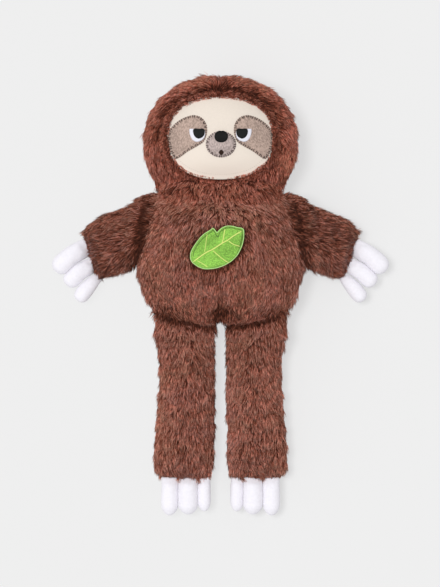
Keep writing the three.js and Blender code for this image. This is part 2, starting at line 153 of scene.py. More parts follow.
class StageSettings(bpy.types.PropertyGroup):
    pixel: bpy.props.FloatProperty(
        name="Pixel", description="Size of a photograph's pixel on the toy", default=0.85 * MM, unit="LENGTH")
    camera_height: bpy.props.FloatProperty(
        name="Camera height", description="Camera above the toy's seams", default=12.0, unit="LENGTH")
    floor_colour: bpy.props.FloatVectorProperty(
        name="Floor", description="Colour of the floor",
        default=(0.861, 0.861, 0.861), subtype="COLOR")
    floor_evenness: bpy.props.FloatProperty(
        name="Floor evenness", description="Share of the floor's look that shadows don't reach", default=0.68,
        min=0, max=1, subtype="FACTOR")
    key_light: bpy.props.FloatProperty(
        name="Key light", description="Strength of the light from above", default=1.94)
    key_spread: bpy.props.FloatProperty(
        name="Key spread", description="Angle that the light from above comes from, which softens its shadow",
        default=math.radians(17), unit="ROTATION")
    fill_light: bpy.props.FloatProperty(
        name="Fill light", description="Strength of the light all round", default=0.53)


# Shader maths

class Value:
    """A node's output socket that can be used in arithmetic."""

    def __init__(self, tree, socket):
        self.tree = tree
        self.socket = socket

    def maths(self, operation, first, second=0.0):
        return self.tree.node("ShaderNodeMath", {"operation": operation}, {0: first, 1: second})

    def __add__(self, other):
        return self.maths("ADD", self, other)

    def __radd__(self, other):
        return self.maths("ADD", other, self)

    def __sub__(self, other):
        return self.maths("SUBTRACT", self, other)

    def __rsub__(self, other):
        return self.maths("SUBTRACT", other, self)

    def __mul__(self, other):
        return self.maths("MULTIPLY", self, other)

    def __rmul__(self, other):
        return self.maths("MULTIPLY", other, self)


class ShaderTree:
    """Node tree of a material or the world, with one method that adds any node."""

    def __init__(self, owner):
        owner.use_nodes = True
        self.tree = owner.node_tree
        self.tree.nodes.clear()

    def node(self, kind, settings=None, sockets=None, output=0):
        made = self.tree.nodes.new(kind)
        for name, setting in (settings or {}).items():
            if name == "stops":
                self.set_stops(made.color_ramp, setting)
            else:
                setattr(made, name, setting)
        for name, value in (sockets or {}).items():
            if isinstance(value, Value):
                self.tree.links.new(value.socket, made.inputs[name])
            elif hasattr(made.inputs[name].default_value, "__len__") and len(value) == 3:
                size = len(made.inputs[name].default_value)
                made.inputs[name].default_value = (*value, 1.0)[:size]
            else:
                made.inputs[name].default_value = value
        return Value(self, made.outputs[output]) if made.outputs else made

    @staticmethod
    def set_stops(ramp, stops):
        while len(ramp.elements) < len(stops):
            ramp.elements.new(0.5)
        for element, (place, colour) in zip(ramp.elements, stops):
            element.position = place
            element.color = (*colour, 1.0)

    def ramp(self, factor, stops):
        return self.node("ShaderNodeValToRGB", {"stops": stops}, {"Fac": factor})

    def grey(self, factor, low, high, start=0.0, end=1.0):
        settings = {"clamp": True}
        sockets = {"Value": factor, "From Min": start, "From Max": end, "To Min": low, "To Max": high}
        return self.node("ShaderNodeMapRange", settings, sockets)

    def mix(self, factor, first, second, blend="MIX"):
        settings = {"data_type": "RGBA", "blend_type": blend}
        return self.node("ShaderNodeMix", settings, {0: factor, 6: first, 7: second}, output=2)

    def position(self, scale=(1, 1, 1), turn=0.0):
        place = self.node("ShaderNodeTexCoord", output=3)
        turned = self.node("ShaderNodeMapping", None, {"Vector": place, "Rotation": (0, 0, turn)})
        return self.node("ShaderNodeMapping", None, {"Vector": turned, "Scale": scale})

    def noise(self, scale, detail, stretch=(1, 1, 1), turn=0.0):
        sockets = {"Vector": self.position(stretch, turn), "Scale": scale, "Detail": detail}
        return self.node("ShaderNodeTexNoise", None, sockets)

    def bump(self, height, strength, distance):
        sockets = {"Height": height, "Strength": strength, "Distance": distance}
        return self.node("ShaderNodeBump", None, sockets)


def material(name, colour, roughness, specular, normal=None, sheen=0.0):
    """A material whose colour and normal are functions of its tree."""
    made = bpy.data.materials.new(name)
    tree = ShaderTree(made)
    sockets = {
        "Base Color": colour(tree),
        "Roughness": roughness,
        "Sheen Weight": sheen,
        "Specular IOR Level": specular,
    }
    if normal:
        sockets["Normal"] = normal(tree)
    shader = tree.node("ShaderNodeBsdfPrincipled", None, sockets)
    tree.node("ShaderNodeOutputMaterial", None, {"Surface": shader})
    return made


# Meshes

def array_of(collection, attribute, width, kind=np.float64):
    values = np.empty(len(collection) * width, kind)
    collection.foreach_get(attribute, values)
    return values.reshape(-1, width)


def unit(vectors):
    return vectors / np.maximum(np.linalg.norm(vectors, axis=-1, keepdims=True), 1e-12)


def surface_of(mesh):
    """A mesh's points, and its faces as triangles."""
    mesh.calc_loop_triangles()
    return array_of(mesh.vertices, "co", 3), array_of(mesh.loop_triangles, "vertices", 3, np.int32)


def tree_of(mesh):
    points = array_of(mesh.vertices, "co", 3)
    return BVHTree.FromPolygons(points.tolist(), [list(p.vertices) for p in mesh.polygons])


def move_points(mesh, points):
    mesh.vertices.foreach_set("co", points.astype(np.float32).ravel())
    mesh.update()


def linked(name, data):
    """A new object in the scene with this mesh, camera or light."""
    made = bpy.data.objects.new(name, data)
    bpy.context.collection.objects.link(made)
    return made


def mesh_from(name, points, triangles, finish, uv=None):
    """A smooth mesh object from arrays; uv holds one pair for each corner."""
    mesh = bpy.data.meshes.new(name)
    triangles = np.asarray(triangles, np.int32)
    mesh.vertices.add(len(points))
    mesh.vertices.foreach_set("co", np.asarray(points, np.float32).ravel())
    mesh.loops.add(triangles.size)
    mesh.loops.foreach_set("vertex_index", triangles.ravel())
    mesh.polygons.add(len(triangles))
    mesh.polygons.foreach_set("loop_start", np.arange(0, triangles.size, 3, dtype=np.int32))
    mesh.update(calc_edges=True)
    mesh.shade_smooth()
    if uv is not None:
        mesh.uv_layers.new(name="OFBake").data.foreach_set("uv", np.asarray(uv, np.float32).ravel())
    mesh.materials.append(finish)
    return linked(name, mesh)


def outwards(piece):
    """Makes every face of a closed piece point outwards."""
    bm = bmesh.new()
    bm.from_mesh(piece.data)
    bmesh.ops.recalc_face_normals(bm, faces=bm.faces)
    bm.to_mesh(piece.data)
    bm.free()
    return piece


def join_parts(parts):
    """Points and triangles of several (points, triangles) pairs as one pair."""
    points, triangles, start = [], [], 0
    for part_points, part_triangles in parts:
        points.append(part_points)
        triangles.append(np.asarray(part_triangles) + start)
        start += len(part_points)
    return np.concatenate(points), np.concatenate(triangles)


def grid_triangles(rows, columns):
    """Triangles between rows of points, each of which joins its last point to its first."""
    row = np.arange(rows - 1)[:, None] * columns
    column = np.arange(columns)[None, :]
    after = (column + 1) % columns
    a, b = row + column, row + after
    c, d = a + columns, b + columns
    return np.concatenate([np.stack([a, b, d], -1).reshape(-1, 3), np.stack([a, d, c], -1).reshape(-1, 3)])


def capped_grid(rings):
    """A closed body through rings of points, each end shut by a point at its middle."""
    rows, columns = rings.shape[:2]
    points = np.concatenate([rings.reshape(-1, 3), rings[0].mean(0)[None], rings[-1].mean(0)[None]])
    ring = np.arange(columns)
    after = (ring + 1) % columns
    first, last = rows * columns, rows * columns + 1
    start = np.stack([after, ring, np.full(columns, first)], -1)
    end = np.stack([ring, after, np.full(columns, last)], -1)
    end[:, :2] += (rows - 1) * columns
    return points, np.concatenate([grid_triangles(rows, columns), start, end])


def catmull_rom(a, b, c, d, t):
    """Points between b and c on the curve that also passes through a and d."""
    square, cube = 2 * a - 5 * b + 4 * c - d, 3 * b - a - 3 * c + d
    return 0.5 * (2 * b + (c - a) * t + square * t**2 + cube * t**3)


def smooth_curve(points, count, closed=False, steps=16):
    """Evenly spaced points on a smooth curve through the given ones."""
    points = np.asarray(points, float)
    ends = (points[-1], points[0], points[1]) if closed else (points[0], points[-1], points[-1])
    knots = np.vstack([ends[0], points, ends[1:]])
    spans = len(points) if closed else len(points) - 1
    t = np.linspace(0, 1, steps, endpoint=False)[:, None]
    fine = [catmull_rom(*knots[i:i + 4], t) for i in range(spans)]
    fine = np.vstack([*fine, points[0] if closed else points[-1]])
    run = np.concatenate([[0], np.cumsum(np.linalg.norm(np.diff(fine, axis=0), axis=1))])
    wanted = np.linspace(0, run[-1], count, endpoint=not closed)
    return np.stack([np.interp(wanted, run, fine[:, k]) for k in range(points.shape[1])], -1)


def tube(path, radius, sides, closed=False):
    """A round tube through 3-D points, with one radius or one for each point."""
    path = np.asarray(path)
    radius = np.broadcast_to(radius, len(path))
    ahead = np.roll(path, -1, 0) - np.roll(path, 1, 0)
    if not closed:
        ahead[0], ahead[-1] = path[1] - path[0], path[-1] - path[-2]
    ahead = unit(ahead)
    across = unit(np.cross(ahead, UP))
    up = np.cross(across, ahead)
    angle = np.linspace(0, 2 * np.pi, sides, endpoint=False)
    ring = across[:, None] * np.cos(angle)[None, :, None] + up[:, None] * np.sin(angle)[None, :, None]
    rings = path[:, None] + ring * radius[:, None, None]
    if closed:
        return rings.reshape(-1, 3), grid_triangles(len(path) + 1, sides) % (len(path) * sides)
    return capped_grid(rings)


class Relief:
    """Height of a CAD node's upper side over the floor plan, smoothed free of facets."""

    def __init__(self, node, step=1.5 * MM, passes=5, margin=6):
        mesh = frame["nodes"][node].data
        points = array_of(mesh.vertices, "co", 3)
        tree = tree_of(mesh)
        self.step = step
        self.low = points.min(0)[:2] - margin * step
        counts = np.ceil((points.max(0)[:2] + margin * step - self.low) / step).astype(int) + 1
        heights = np.full(counts, np.nan)
        for i in range(counts[0]):
            for j in range(counts[1]):
                start = Vector((self.low[0] + i * step, self.low[1] + j * step, 1.0))
                hit = tree.ray_cast(start, Vector((0, 0, -1)))[0]
                if hit:
                    heights[i, j] = hit.z
        self.heights = self.filled(heights)
        for _ in range(passes):
            self.heights = self.around(self.heights, mode="reflect", reflect_type="odd").mean(0)

    @staticmethod
    def around(heights, **padding):
        """Nine copies of the grid: each cell's own height and those of its neighbours."""
        padded = np.pad(heights, 1, **padding)
        rows, columns = heights.shape
        return np.stack([padded[i:i + rows, j:j + columns] for i in range(3) for j in range(3)])

    def filled(self, heights):
        """Carries the heights outwards over the cells where the node has none."""
        while np.isnan(heights).any():
            near = self.around(heights, constant_values=np.nan)
            known = ~np.isnan(near)
            mean = np.where(known, near, 0).sum(0) / np.maximum(known.sum(0), 1)
            heights = np.where(np.isnan(heights) & known.any(0), mean, heights)
        return heights

    def __call__(self, x, y):
        at = [(np.asarray(value) - low) / self.step for value, low in zip((x, y), self.low)]
        cell = [np.clip(value.astype(int), 0, size - 2) for value, size in zip(at, self.heights.shape)]
        u, v = [np.clip(value - base, 0, 1) for value, base in zip(at, cell)]
        i, j = cell
        z = self.heights
        return (z[i, j] * (1 - u) * (1 - v) + z[i + 1, j] * u * (1 - v)
                + z[i, j + 1] * (1 - u) * v + z[i + 1, j + 1] * u * v)


# Cloth under the coat

SKIN_INSET = 2.2 * MM
THIN_SHARE = 0.2
THICK_FORM = 10 * MM
STUFFING_CLEARANCE = 0.5 * MM
SEWING_REACH = 0.5 * MM
FACING = 0.02
FLAT_JOIN, SQUARE_JOIN = math.radians(50), math.radians(60)


def outside_of(node, side):
    """Points and triangles of a panel's outer face: front panels face up and back panels down."""
    points, triangles = surface_of(frame["nodes"][node].data)
    a, b, c = (points[triangles[:, k]] for k in range(3))
    normals = unit(np.cross(b - a, c - a))
    return points, triangles[normals[:, 2] * side > FACING]


def sewn_skin(name, front, back):
    """The cloth under the pile: both panels' outsides sewn into one smooth bag, drawn in by the pile."""
    points, triangles = join_parts([outside_of(front, 1), outside_of(back, -1)])
    bm = bmesh.new()
    corners = [bm.verts.new(point) for point in points]
    for triangle in triangles:
        bm.faces.new([corners[k] for k in triangle])
    bmesh.ops.delete(bm, geom=[v for v in bm.verts if not v.link_faces], context="VERTS")
    bmesh.ops.remove_doubles(bm, verts=bm.verts, dist=SEWING_REACH)
    bmesh.ops.join_triangles(
        bm, faces=bm.faces, angle_face_threshold=FLAT_JOIN, angle_shape_threshold=SQUARE_JOIN)
    bmesh.ops.recalc_face_normals(bm, faces=bm.faces)
    if bm.calc_volume(signed=True) < 0:
        bmesh.ops.reverse_faces(bm, faces=bm.faces)
    mesh = bpy.data.meshes.new(name)
    bm.to_mesh(mesh)
    bm.free()
    return draw_in(smoothed_through(mesh), frame["nodes"][f"{name}_stuffing"].data)


def smoothed_through(mesh, levels=2, passes=3, step=0.8):
    """Subdivides a mesh smoothly, with the result still passing through its own points."""
    aim = array_of(mesh.vertices, "co", 3)
    cage = aim.copy()
    rough = linked(mesh.name, mesh)
    rough.modifiers.new("smooth", "SUBSURF").levels = levels
    for _ in range(passes):
        graph = bpy.context.evaluated_depsgraph_get()
        fine = bpy.data.meshes.new_from_object(rough.evaluated_get(graph))
        reached = array_of(fine.vertices, "co", 3)[:len(aim)]
        cage += (aim - reached) * step
        move_points(mesh, cage)
    bpy.data.objects.remove(rough)
    return fine


def draw_in(mesh, stuffing):
    """Moves a skin in along its normals, less where the form is thin and never into the stuffing."""
    points = array_of(mesh.vertices, "co", 3)
    normals = array_of(mesh.vertex_normals, "vector", 3)
    tree, filled = tree_of(mesh), tree_of(stuffing)
    depth = np.empty(len(points))
    for i, (point, normal) in enumerate(zip(points, normals)):
        inward = Vector(-normal)
        thickness = tree.ray_cast(Vector(point) + inward * MM, inward)[3] or THICK_FORM
        room = filled.find_nearest(point)[3] - STUFFING_CLEARANCE
        depth[i] = max(min(SKIN_INSET, thickness * THIN_SHARE, room), 0)
    move_points(mesh, points - normals * depth[:, None])
    return mesh


def skin_piece(name, mesh, finish):
    mesh.materials.clear()
    mesh.materials.append(finish)
    mesh.shade_smooth()
    return linked(name, mesh)


# Fur

LOCK_FACES = np.array([
    [0, 2, 1], [0, 1, 4], [0, 4, 3], [1, 2, 5], [1, 5, 4],
    [2, 0, 3], [2, 3, 5], [3, 4, 6], [4, 5, 6], [5, 3, 6],
])
LOCK_HEIGHTS = np.array([0.02, 0.02, 0.02, 0.55, 0.55, 0.55, 0.98])
RING_ANGLES = (math.pi / 2, math.pi * 7 / 6, math.pi * 11 / 6)
ROOT_WIDTH, MIDDLE_WIDTH, FLATNESS = 0.9, 1.0, 0.75
ROOT_DEPTH = 0.6 * MM
MIDDLE_RISE, TIP_RISE = 0.3, -0.05
MIDDLE_PULL = 0.3
LENGTH_RANGE, RISE_RANGE, WIDTH_RANGE = (0.62, 1.15), (0.45, 1.4), (0.35, 0.65)
LENGTH_WAVE, RISE_WAVE = (12 * MM, 0.14), (9 * MM, 0.25)
TURN_SPREAD = 0.2
TURN_WAVES = ((19 * MM, 0.3), (7 * MM, 0.2))
WISP_SIZE, TUFT_SIZE = 6, 60
TUFT_SHARE = 0.5
FLOOR_GAP, FLOOR_SOFTNESS = 0.2 * MM, 0.8 * MM
MOST_LOCKS = 19000
SHADES = 24
MIDDLE_SHADE = 0.54
LOCK_CONTRAST, WISP_CONTRAST, TUFT_CONTRAST = 0.95, 0.32, 0.14
SHADE_WAVE, HUE_WAVE = (40 * MM, 0.06), (26 * MM, 0.45)
LOCK_HUE = 0.4
WAVE_COUNT = 6
WAVE_LENGTHS = (0.6, 1.8)


def scattered(mesh, density, random):
    """Random root points over a mesh, with the normals there."""
    points, triangles = surface_of(mesh)
    normals = array_of(mesh.vertex_normals, "vector", 3)
    a, b, c = (points[triangles[:, k]] for k in range(3))
    areas = np.linalg.norm(np.cross(b - a, c - a), axis=1) / 2
    count = int(areas.sum() / MM**2 * density)
    steps = (np.arange(count) + random.random(count)) / count
    chosen = np.searchsorted(np.cumsum(areas) / areas.sum(), steps).clip(0, len(areas) - 1)
    r, s = random.random((2, count))
    flip = r + s > 1
    r[flip], s[flip] = 1 - r[flip], 1 - s[flip]
    weights = np.stack([1 - r - s, r, s], -1)[..., None]
    corner = triangles[chosen]
    return (points[corner] * weights).sum(1), unit((normals[corner] * weights).sum(1))


def waves(points, scale, swing, random):
    """Smooth noise over points, from a few plane waves about as long as the scale."""
    total = np.zeros(len(points))
    for _ in range(WAVE_COUNT):
        direction = unit(random.normal(size=3))
        length = scale * random.uniform(*WAVE_LENGTHS)
        total += np.sin(points @ direction * (2 * np.pi / length) + random.uniform(0, 2 * np.pi))
    return swing * (total / (WAVE_COUNT / 2))


def drawn_together(roots, tips, share, group, random):
    """Moves each tip towards the tip of the nearest of a few leading locks, and names that lock."""
    leaders = random.choice(len(roots), max(1, len(roots) // group), replace=False)
    tree = KDTree(len(leaders))
    for k, leader in enumerate(leaders):
        tree.insert(roots[leader], k)
    tree.balance()
    nearest = np.array([tree.find(root)[1] for root in roots])
    return tips + (tips[leaders[nearest]] - tips) * share, nearest


def lock_shades(roots, wisp, tuft, tone, random):
    """Each lock's shade in steps, with its hue inside the step. Wisps and tufts share a part of theirs."""
    def of_group(group):
        return random.random(group.max() + 1)[group] - 0.5

    shade = MIDDLE_SHADE + tone + LOCK_CONTRAST * (random.random(len(roots)) - 0.5)
    shade += WISP_CONTRAST * of_group(wisp)
    shade += TUFT_CONTRAST * of_group(tuft)
    shade += waves(roots, *SHADE_WAVE, random)
    hue = 0.5 + waves(roots, *HUE_WAVE, random) + LOCK_HUE * (random.random(len(roots)) - 0.5)
    return (np.floor(np.clip(shade, 0, 0.999) * SHADES) + np.clip(hue, 0.04, 0.96)) / SHADES


def lock_mesh(name, points, shade, finish):
    """One mesh of many locks, whose map holds each lock's shade and the height along the lock."""
    start = np.arange(len(points)) * len(LOCK_HEIGHTS)
    triangles = LOCK_FACES + start[:, None, None]
    heights = np.tile(LOCK_HEIGHTS[LOCK_FACES.ravel()], len(points))
    spots = np.stack([np.repeat(shade, LOCK_FACES.size), heights], -1)
    return mesh_from(name, points.reshape(-1, 3), triangles.reshape(-1, 3), finish, spots)


def fur(name, roots, normals, flow, settings, finish, pile, tone, lift=1.0):
    """Curved tapering locks from the roots along the flow, kept off the floor."""
    count = len(roots)
    random = np.random.default_rng(settings.seed + len(name) * 131 + count)
    along = unit(flow - normals * (flow * normals).sum(1, keepdims=True))
    across = np.cross(normals, along)
    turn = random.normal(0, TURN_SPREAD, count)
    for wave in TURN_WAVES:
        turn += waves(roots, *wave, random)
    along = along * np.cos(turn)[:, None] + across * np.sin(turn)[:, None]
    across = np.cross(normals, along)
    length = settings.pile * pile * random.uniform(*LENGTH_RANGE, count)
    length *= 1 + waves(roots, *LENGTH_WAVE, random)
    rise = settings.lift * lift * random.uniform(*RISE_RANGE, count)
    rise *= 1 + waves(roots, *RISE_WAVE, random)

    def reach(share, extra):
        angle = (rise + extra)[:, None]
        return roots + (length * share)[:, None] * (along * np.cos(angle) + normals * np.sin(angle))

    straight = reach(1.0, TIP_RISE)
    tips, wisp = drawn_together(roots, straight, settings.clumping, WISP_SIZE, random)
    tips, tuft = drawn_together(roots, tips, settings.clumping * TUFT_SHARE, TUFT_SIZE, random)
    middles = reach(0.5, MIDDLE_RISE) + (tips - straight) * MIDDLE_PULL
    half = settings.lock_width * random.uniform(*WIDTH_RANGE, count)[:, None]
    rings = [
        centre + half * wide * (across * math.cos(angle) + normals * FLATNESS * math.sin(angle))
        for centre, wide in ((roots - normals * ROOT_DEPTH, ROOT_WIDTH), (middles, MIDDLE_WIDTH))
        for angle in RING_ANGLES]
    points = np.stack([*rings, tips], 1)
    points[..., 2] = FLOOR_GAP + FLOOR_SOFTNESS * np.logaddexp(0, points[..., 2] / FLOOR_SOFTNESS)
    shade = lock_shades(roots, wisp, tuft, tone, random)
    order = np.lexsort((roots[:, 1], normals[:, 2] < 0))
    parts = np.array_split(order, math.ceil(count / MOST_LOCKS))
    return [lock_mesh(f"{name}_{k + 1}", points[part], shade[part], finish) for k, part in enumerate(parts)]


RED_SHADES = (0.35, 0.75)
MOST_RED = 0.9


def coat_finish(name, settings, tint=(1, 1, 1)):
    """Fur colour from the lock's own shade and hue (U) and the height along it (V)."""
    root, middle, tip, cool, warm = (
        tuple(np.array(getattr(settings, f"{part}_colour")) * tint)
        for part in ("root", "middle", "tip", "cool", "warm"))

    def colour(tree):
        uv = tree.node("ShaderNodeUVMap", {"uv_map": "OFBake"})
        shade, height = (tree.node("ShaderNodeSeparateXYZ", None, {"Vector": uv}, output=k) for k in (0, 1))
        # Each lock darkens towards its root: partly dye, partly painted shade deep in the pile.
        tan, grey, red = (
            tree.ramp(height, [(0.0, root), (0.5, half_way), (1.0, end)])
            for half_way, end in ((middle, tip), (middle, cool), (warm, warm)))
        hue = shade.maths("FRACT", shade * SHADES)
        reddish = tree.grey(1.0 - shade, 0.0, MOST_RED, *RED_SHADES)
        dim = tree.grey(shade, *settings.shade_range)
        level = tree.node("ShaderNodeCombineColor", None, {0: dim, 1: dim, 2: dim})
        return tree.mix(1.0, tree.mix(reddish, tree.mix(hue, tan, grey), red), level, "MULTIPLY")
    return material(name, colour, roughness=0.5, specular=0.18)


def cloth_finish(name, colour, deep, scale=900.0):
    """Knitted backing cloth: fine loops that darken and dent the surface."""
    def shade(tree):
        return tree.mix(tree.noise(scale, 3.0), deep, colour)

    def dents(tree):
        return tree.bump(tree.noise(scale * 1.4, 2.0), 0.5, 0.4 * MM)
    return material(name, shade, roughness=0.95, normal=dents, specular=0.1)


# Forms and places on the toy, in mm on the floor plan unless a name says otherwise

FACE_LOW, FACE_HIGH = (np.array(corner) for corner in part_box("face_panel"))
FACE_MIDDLE = (FACE_LOW + FACE_HIGH) / 2
FACE_HALF = (FACE_HIGH - FACE_LOW) / 2
FACE_FULLNESS = 2.3
DART_X = -1.3
DART_WIDTH = 1.7
DART_REACH = 8
DART_DEPTH = 1.2
HOOD_ROLL = {"height": 7.0, "away": 13.2, "width": 4.8}
HOOD_CREASE = {"height": -2.6, "away": 5.5, "width": 2.6}
HOOD_LEAN = (0.9, 0.35, 1)
HOOD_FRONT_Z = (38, 50)
RIM_DEPTH = 4
BELLY_SAG, BELLY_SAG_HALF, BELLY_PARTING = 7.5, 62, 3
BELLY_PINCH = {"middle": (0, -9), "size": (5, 6)}
BELLY_PINCH_DEPTH = 5
BELLY_FRONT_Z = (33, 43)
SHOULDER_LINE = ((57.5, 86), (71, 26))
ARM_TOP, ARM_END = np.array((62, 58)), np.array((109, 34))
ARM_DEPTH = 26
TORSO_HALF = 70
LEG_MIDDLE, LEG_HALF = 29, 25
LEG_HEM_Y = (-146, -152)
LEG_OUTER_CORNER = (43, 49)


def bell(*distances):
    """1 where all distances are 0, fading out about 2 away."""
    return np.exp(-sum(distance**2 for distance in distances))


def spot(x, y, middle, size):
    return bell((x - middle[0]) / size[0], (y - middle[1]) / size[1])


def fade(value, zero, one):
    """0 up to one place and 1 from the other on, whichever of them is higher."""
    return np.clip((value - zero) / (one - zero), 0, 1)


def face_distance(points):
    """Distance outside the face panel's edge, about."""
    x, y = (np.abs(points[:, k] - FACE_MIDDLE[k]) / FACE_HALF[k] for k in (0, 1))
    radius = (x**FACE_FULLNESS + y**FACE_FULLNESS) ** (1 / FACE_FULLNESS)
    return (radius - 1) * (FACE_HALF[0] + FACE_HALF[1]) / 2 / MM


def face_angle(points):
    """Angle round the face's middle, from -90 degrees at the chin to 90 degrees at the crown."""
    return np.arctan2(points[:, 1] - FACE_MIDDLE[1], np.abs(points[:, 0]))


def in_dart(points):
    """1 in the short dart above the face, fading to 0 around it."""
    above = (points[:, 1] - FACE_HIGH[1]) / MM / DART_REACH
    return bell((points[:, 0] / MM - DART_X) / DART_WIDTH) * bell(((above - 0.3) / 0.55) ** 2)


def shape_hood(mesh):
    """Rolls the hood up round the face, sinks a crease inside the roll and pinches the dart on top."""
    points = array_of(mesh.vertices, "co", 3)
    normals = array_of(mesh.vertex_normals, "vector", 3)
    away = face_distance(points)
    form = sum(
        part["height"] * bell((away - part["away"]) / part["width"]) for part in (HOOD_ROLL, HOOD_CREASE))
    upper = np.clip((face_angle(points) + 1.1) / 0.7, 0.15, 1)
    front = fade(points[:, 2] / MM, *HOOD_FRONT_Z)
    height = (form * upper - DART_DEPTH * in_dart(points)) * front
    move_points(mesh, points + normals * HOOD_LEAN * height[:, None] * MM)


def turn_in_rim(mesh):
    """Carries the hood's open edge down to the face panel."""
    bm = bmesh.new()
    bm.from_mesh(mesh)
    rim = [edge for edge in bm.edges if edge.is_boundary]
    made = bmesh.ops.extrude_edge_only(bm, edges=rim)
    for vert in (item for item in made["geom"] if isinstance(item, bmesh.types.BMVert)):
        vert.co.z -= RIM_DEPTH * MM
    bm.to_mesh(mesh)
    bm.free()
    mesh.update()


def shape_belly(mesh):
    """Lets the belly sag over the legs in two soft lobes with a dimple between them."""
    points = array_of(mesh.vertices, "co", 3)
    x, y, z = points.T / MM
    low = fade(y, 16, -12) ** 1.4
    front = fade(z, *BELLY_FRONT_Z)
    sag = BELLY_SAG * np.clip(1 - (x / BELLY_SAG_HALF) ** 2, 0, 1) - BELLY_PARTING * bell(x / 5)
    points[:, 1] -= sag * low * front * MM
    points[:, 2] -= BELLY_PINCH_DEPTH * spot(x, y, **BELLY_PINCH) * front * MM
    move_points(mesh, points)


def from_outline(points, outline):
    """Distance from a closed outline, less than 0 inside it."""
    plan = points[:, :2] / MM
    gap = np.full(len(plan), np.inf)
    crossings = np.zeros(len(plan), int)
    for (x0, y0), (x1, y1) in zip(outline, np.roll(outline, -1, 0)):
        gap = np.minimum(gap, np.hypot(plan[:, 0] - x0, plan[:, 1] - y0))
        if y0 != y1:
            crosses = (plan[:, 1] > min(y0, y1)) & (plan[:, 1] <= max(y0, y1))
            crossings += crosses & (plan[:, 0] < x0 + (plan[:, 1] - y0) * (x1 - x0) / (y1 - y0))
    return np.where(crossings % 2 == 1, -gap, gap)


def shoulder_gap(points):
    """Distance outwards from the shoulder seams' lines."""
    (x0, y0), (x1, y1) = SHOULDER_LINE
    along = unit(np.array((x1 - x0, y1 - y0)))
    return (np.abs(points[:, 0]) / MM - x0) * -along[1] + (points[:, 1] / MM - y0) * along[0]


def under_belly(points):
    """1 along the slot where the belly hangs over the legs, which slopes down to the middle; it places the painted
    shadow there.
    """
    x, y, z = points.T / MM
    slot = np.interp(np.abs(x), (7, 30, 52), (-24, -20, -13.5))
    return bell((y - slot) / 3.6) * fade(np.abs(x), 55, 47) * (z > 25)


# Which way the fur lies: each flow gives a direction for every root

def on_plan(x, y):
    return np.stack([x, y, np.zeros(len(x))], -1)


def flow_torso(points, normals):
    """Down, spreading over the chest and closing in under the belly."""
    x, y = points[:, :2].T / MM
    return on_plan(np.interp(y, (-12, 14, 60), (-0.4, 0.15, 1.0)) * x / TORSO_HALF, -np.ones(len(x)))


def flow_leg(points, normals):
    """Down, spreading a little to both sides."""
    x = points[:, 0] / MM
    return on_plan(0.14 * (x - np.sign(x) * LEG_MIDDLE) / LEG_HALF, -np.ones(len(x)))


def flow_arm(points, normals):
    """Along the arm at its upper edge, turning down towards its lower edge."""
    side = np.sign(points[:, 0])
    run = unit(ARM_END - ARM_TOP)
    from_top = points[:, :2] / MM * np.stack([side, np.ones(len(side))], -1) - ARM_TOP
    below = from_top @ np.array((run[1], -run[0])) / ARM_DEPTH
    turn = np.radians(np.clip(-8 + 66 * below, -22, 72))
    x = run[0] * np.cos(turn) + run[1] * np.sin(turn)
    y = run[1] * np.cos(turn) - run[0] * np.sin(turn)
    return on_plan(side * x, y)


def flow_head(points, normals):
    """Away from the face and down both sides from the dart on top, and backwards and down behind."""
    x, y = (points - FACE_MIDDLE)[:, :2].T / MM
    out = unit(np.stack([x, y], -1))
    side = np.where(x > DART_X, 1.0, -1.0)
    down = np.stack([side * out[:, 1], -side * out[:, 0]], -1)
    share = np.clip(np.abs(x - DART_X) / 15, 0.05, 1) * fade(out[:, 1], -1.05, -0.25)
    plan = 0.45 * out + 0.95 * share[:, None] * down
    spread = np.clip((x - DART_X) / 25, -1, 1)
    back = np.stack([0.6 * spread, -np.ones(len(x)), -1.3 * np.clip(normals[:, 1], 0, 1)], -1)
    behind = fade(points[:, 2] / MM, 39, 27)[:, None]
    return on_plan(*plan.T) * (1 - behind) + back * behind


# How long and how dark the fur is, with painted shade and painted light in the tone: each look gives a pile length
# and a tone for every root

BELLY_SHADOWS = {"dimple": 0.7, "seam": 0.35, "underside": 0.6, "corner": 0.38, "flank": 0.08, "leaf": 0.3}
BELLY_DIMPLE = {"middle": (0, -12), "size": (10, 6.5)}
BELLY_CORNER = {"middle": (43, -11), "size": (10, 6)}
NECK_DIMPLE = {"middle": (41, 89), "size": (6, 4)}
PRESSED_PILE = 0.12
HOOD_PILE = (0.34, 0.95)
# The arms' tone is painted shade where their pile lies across the light.
HOOD_TONE, NECK_TONE, LEG_TONE, ARM_PAINTED_SHADE = 0.105, -0.03, 0.012, -0.2
# Painted light on the arm away from the key light and painted shade on the arm facing it.
ARM_PAINTED_SIDE_LIGHT = 0.045


def hood_look(points):
    """Shorter fur round the face and in the dart, with painted shade in the crease round the face and in the dart,
    painted light and shade that even out the key light, and a little darker crown.
    """
    x, y, z = points.T / MM
    away, angle, dart = face_distance(points), face_angle(points), in_dart(points)
    front = z > 42
    pile = np.where(front, np.clip(HOOD_PILE[0] + away / 15, *HOOD_PILE), HOOD_PILE[1]) * (1 - 0.25 * dart)
    corner = bell((angle - 0.75) / 0.5)
    # Painted shade in the crease round the face, deepest at its upper corners, and in the dart.
    crease = bell((away - HOOD_CREASE["away"]) / 3.8)
    crease *= np.interp(angle, (-0.9, -0.3, 0.3, 0.9), (0.1, 0.4, 0.6, 1))
    crown = fade(y, FACE_HIGH[1] / MM, FACE_HIGH[1] / MM + 10)
    # Painted light growing across the hood away from the key light, with painted shade on the side facing it; a
    # little darker at the crown.
    tone = HOOD_TONE + np.clip(x, -40, 40) * 0.0004 - 0.04 * crown
    return {"pile": pile, "tone": tone - front * (crease * (0.5 + 0.2 * corner) + 0.2 * dart)}


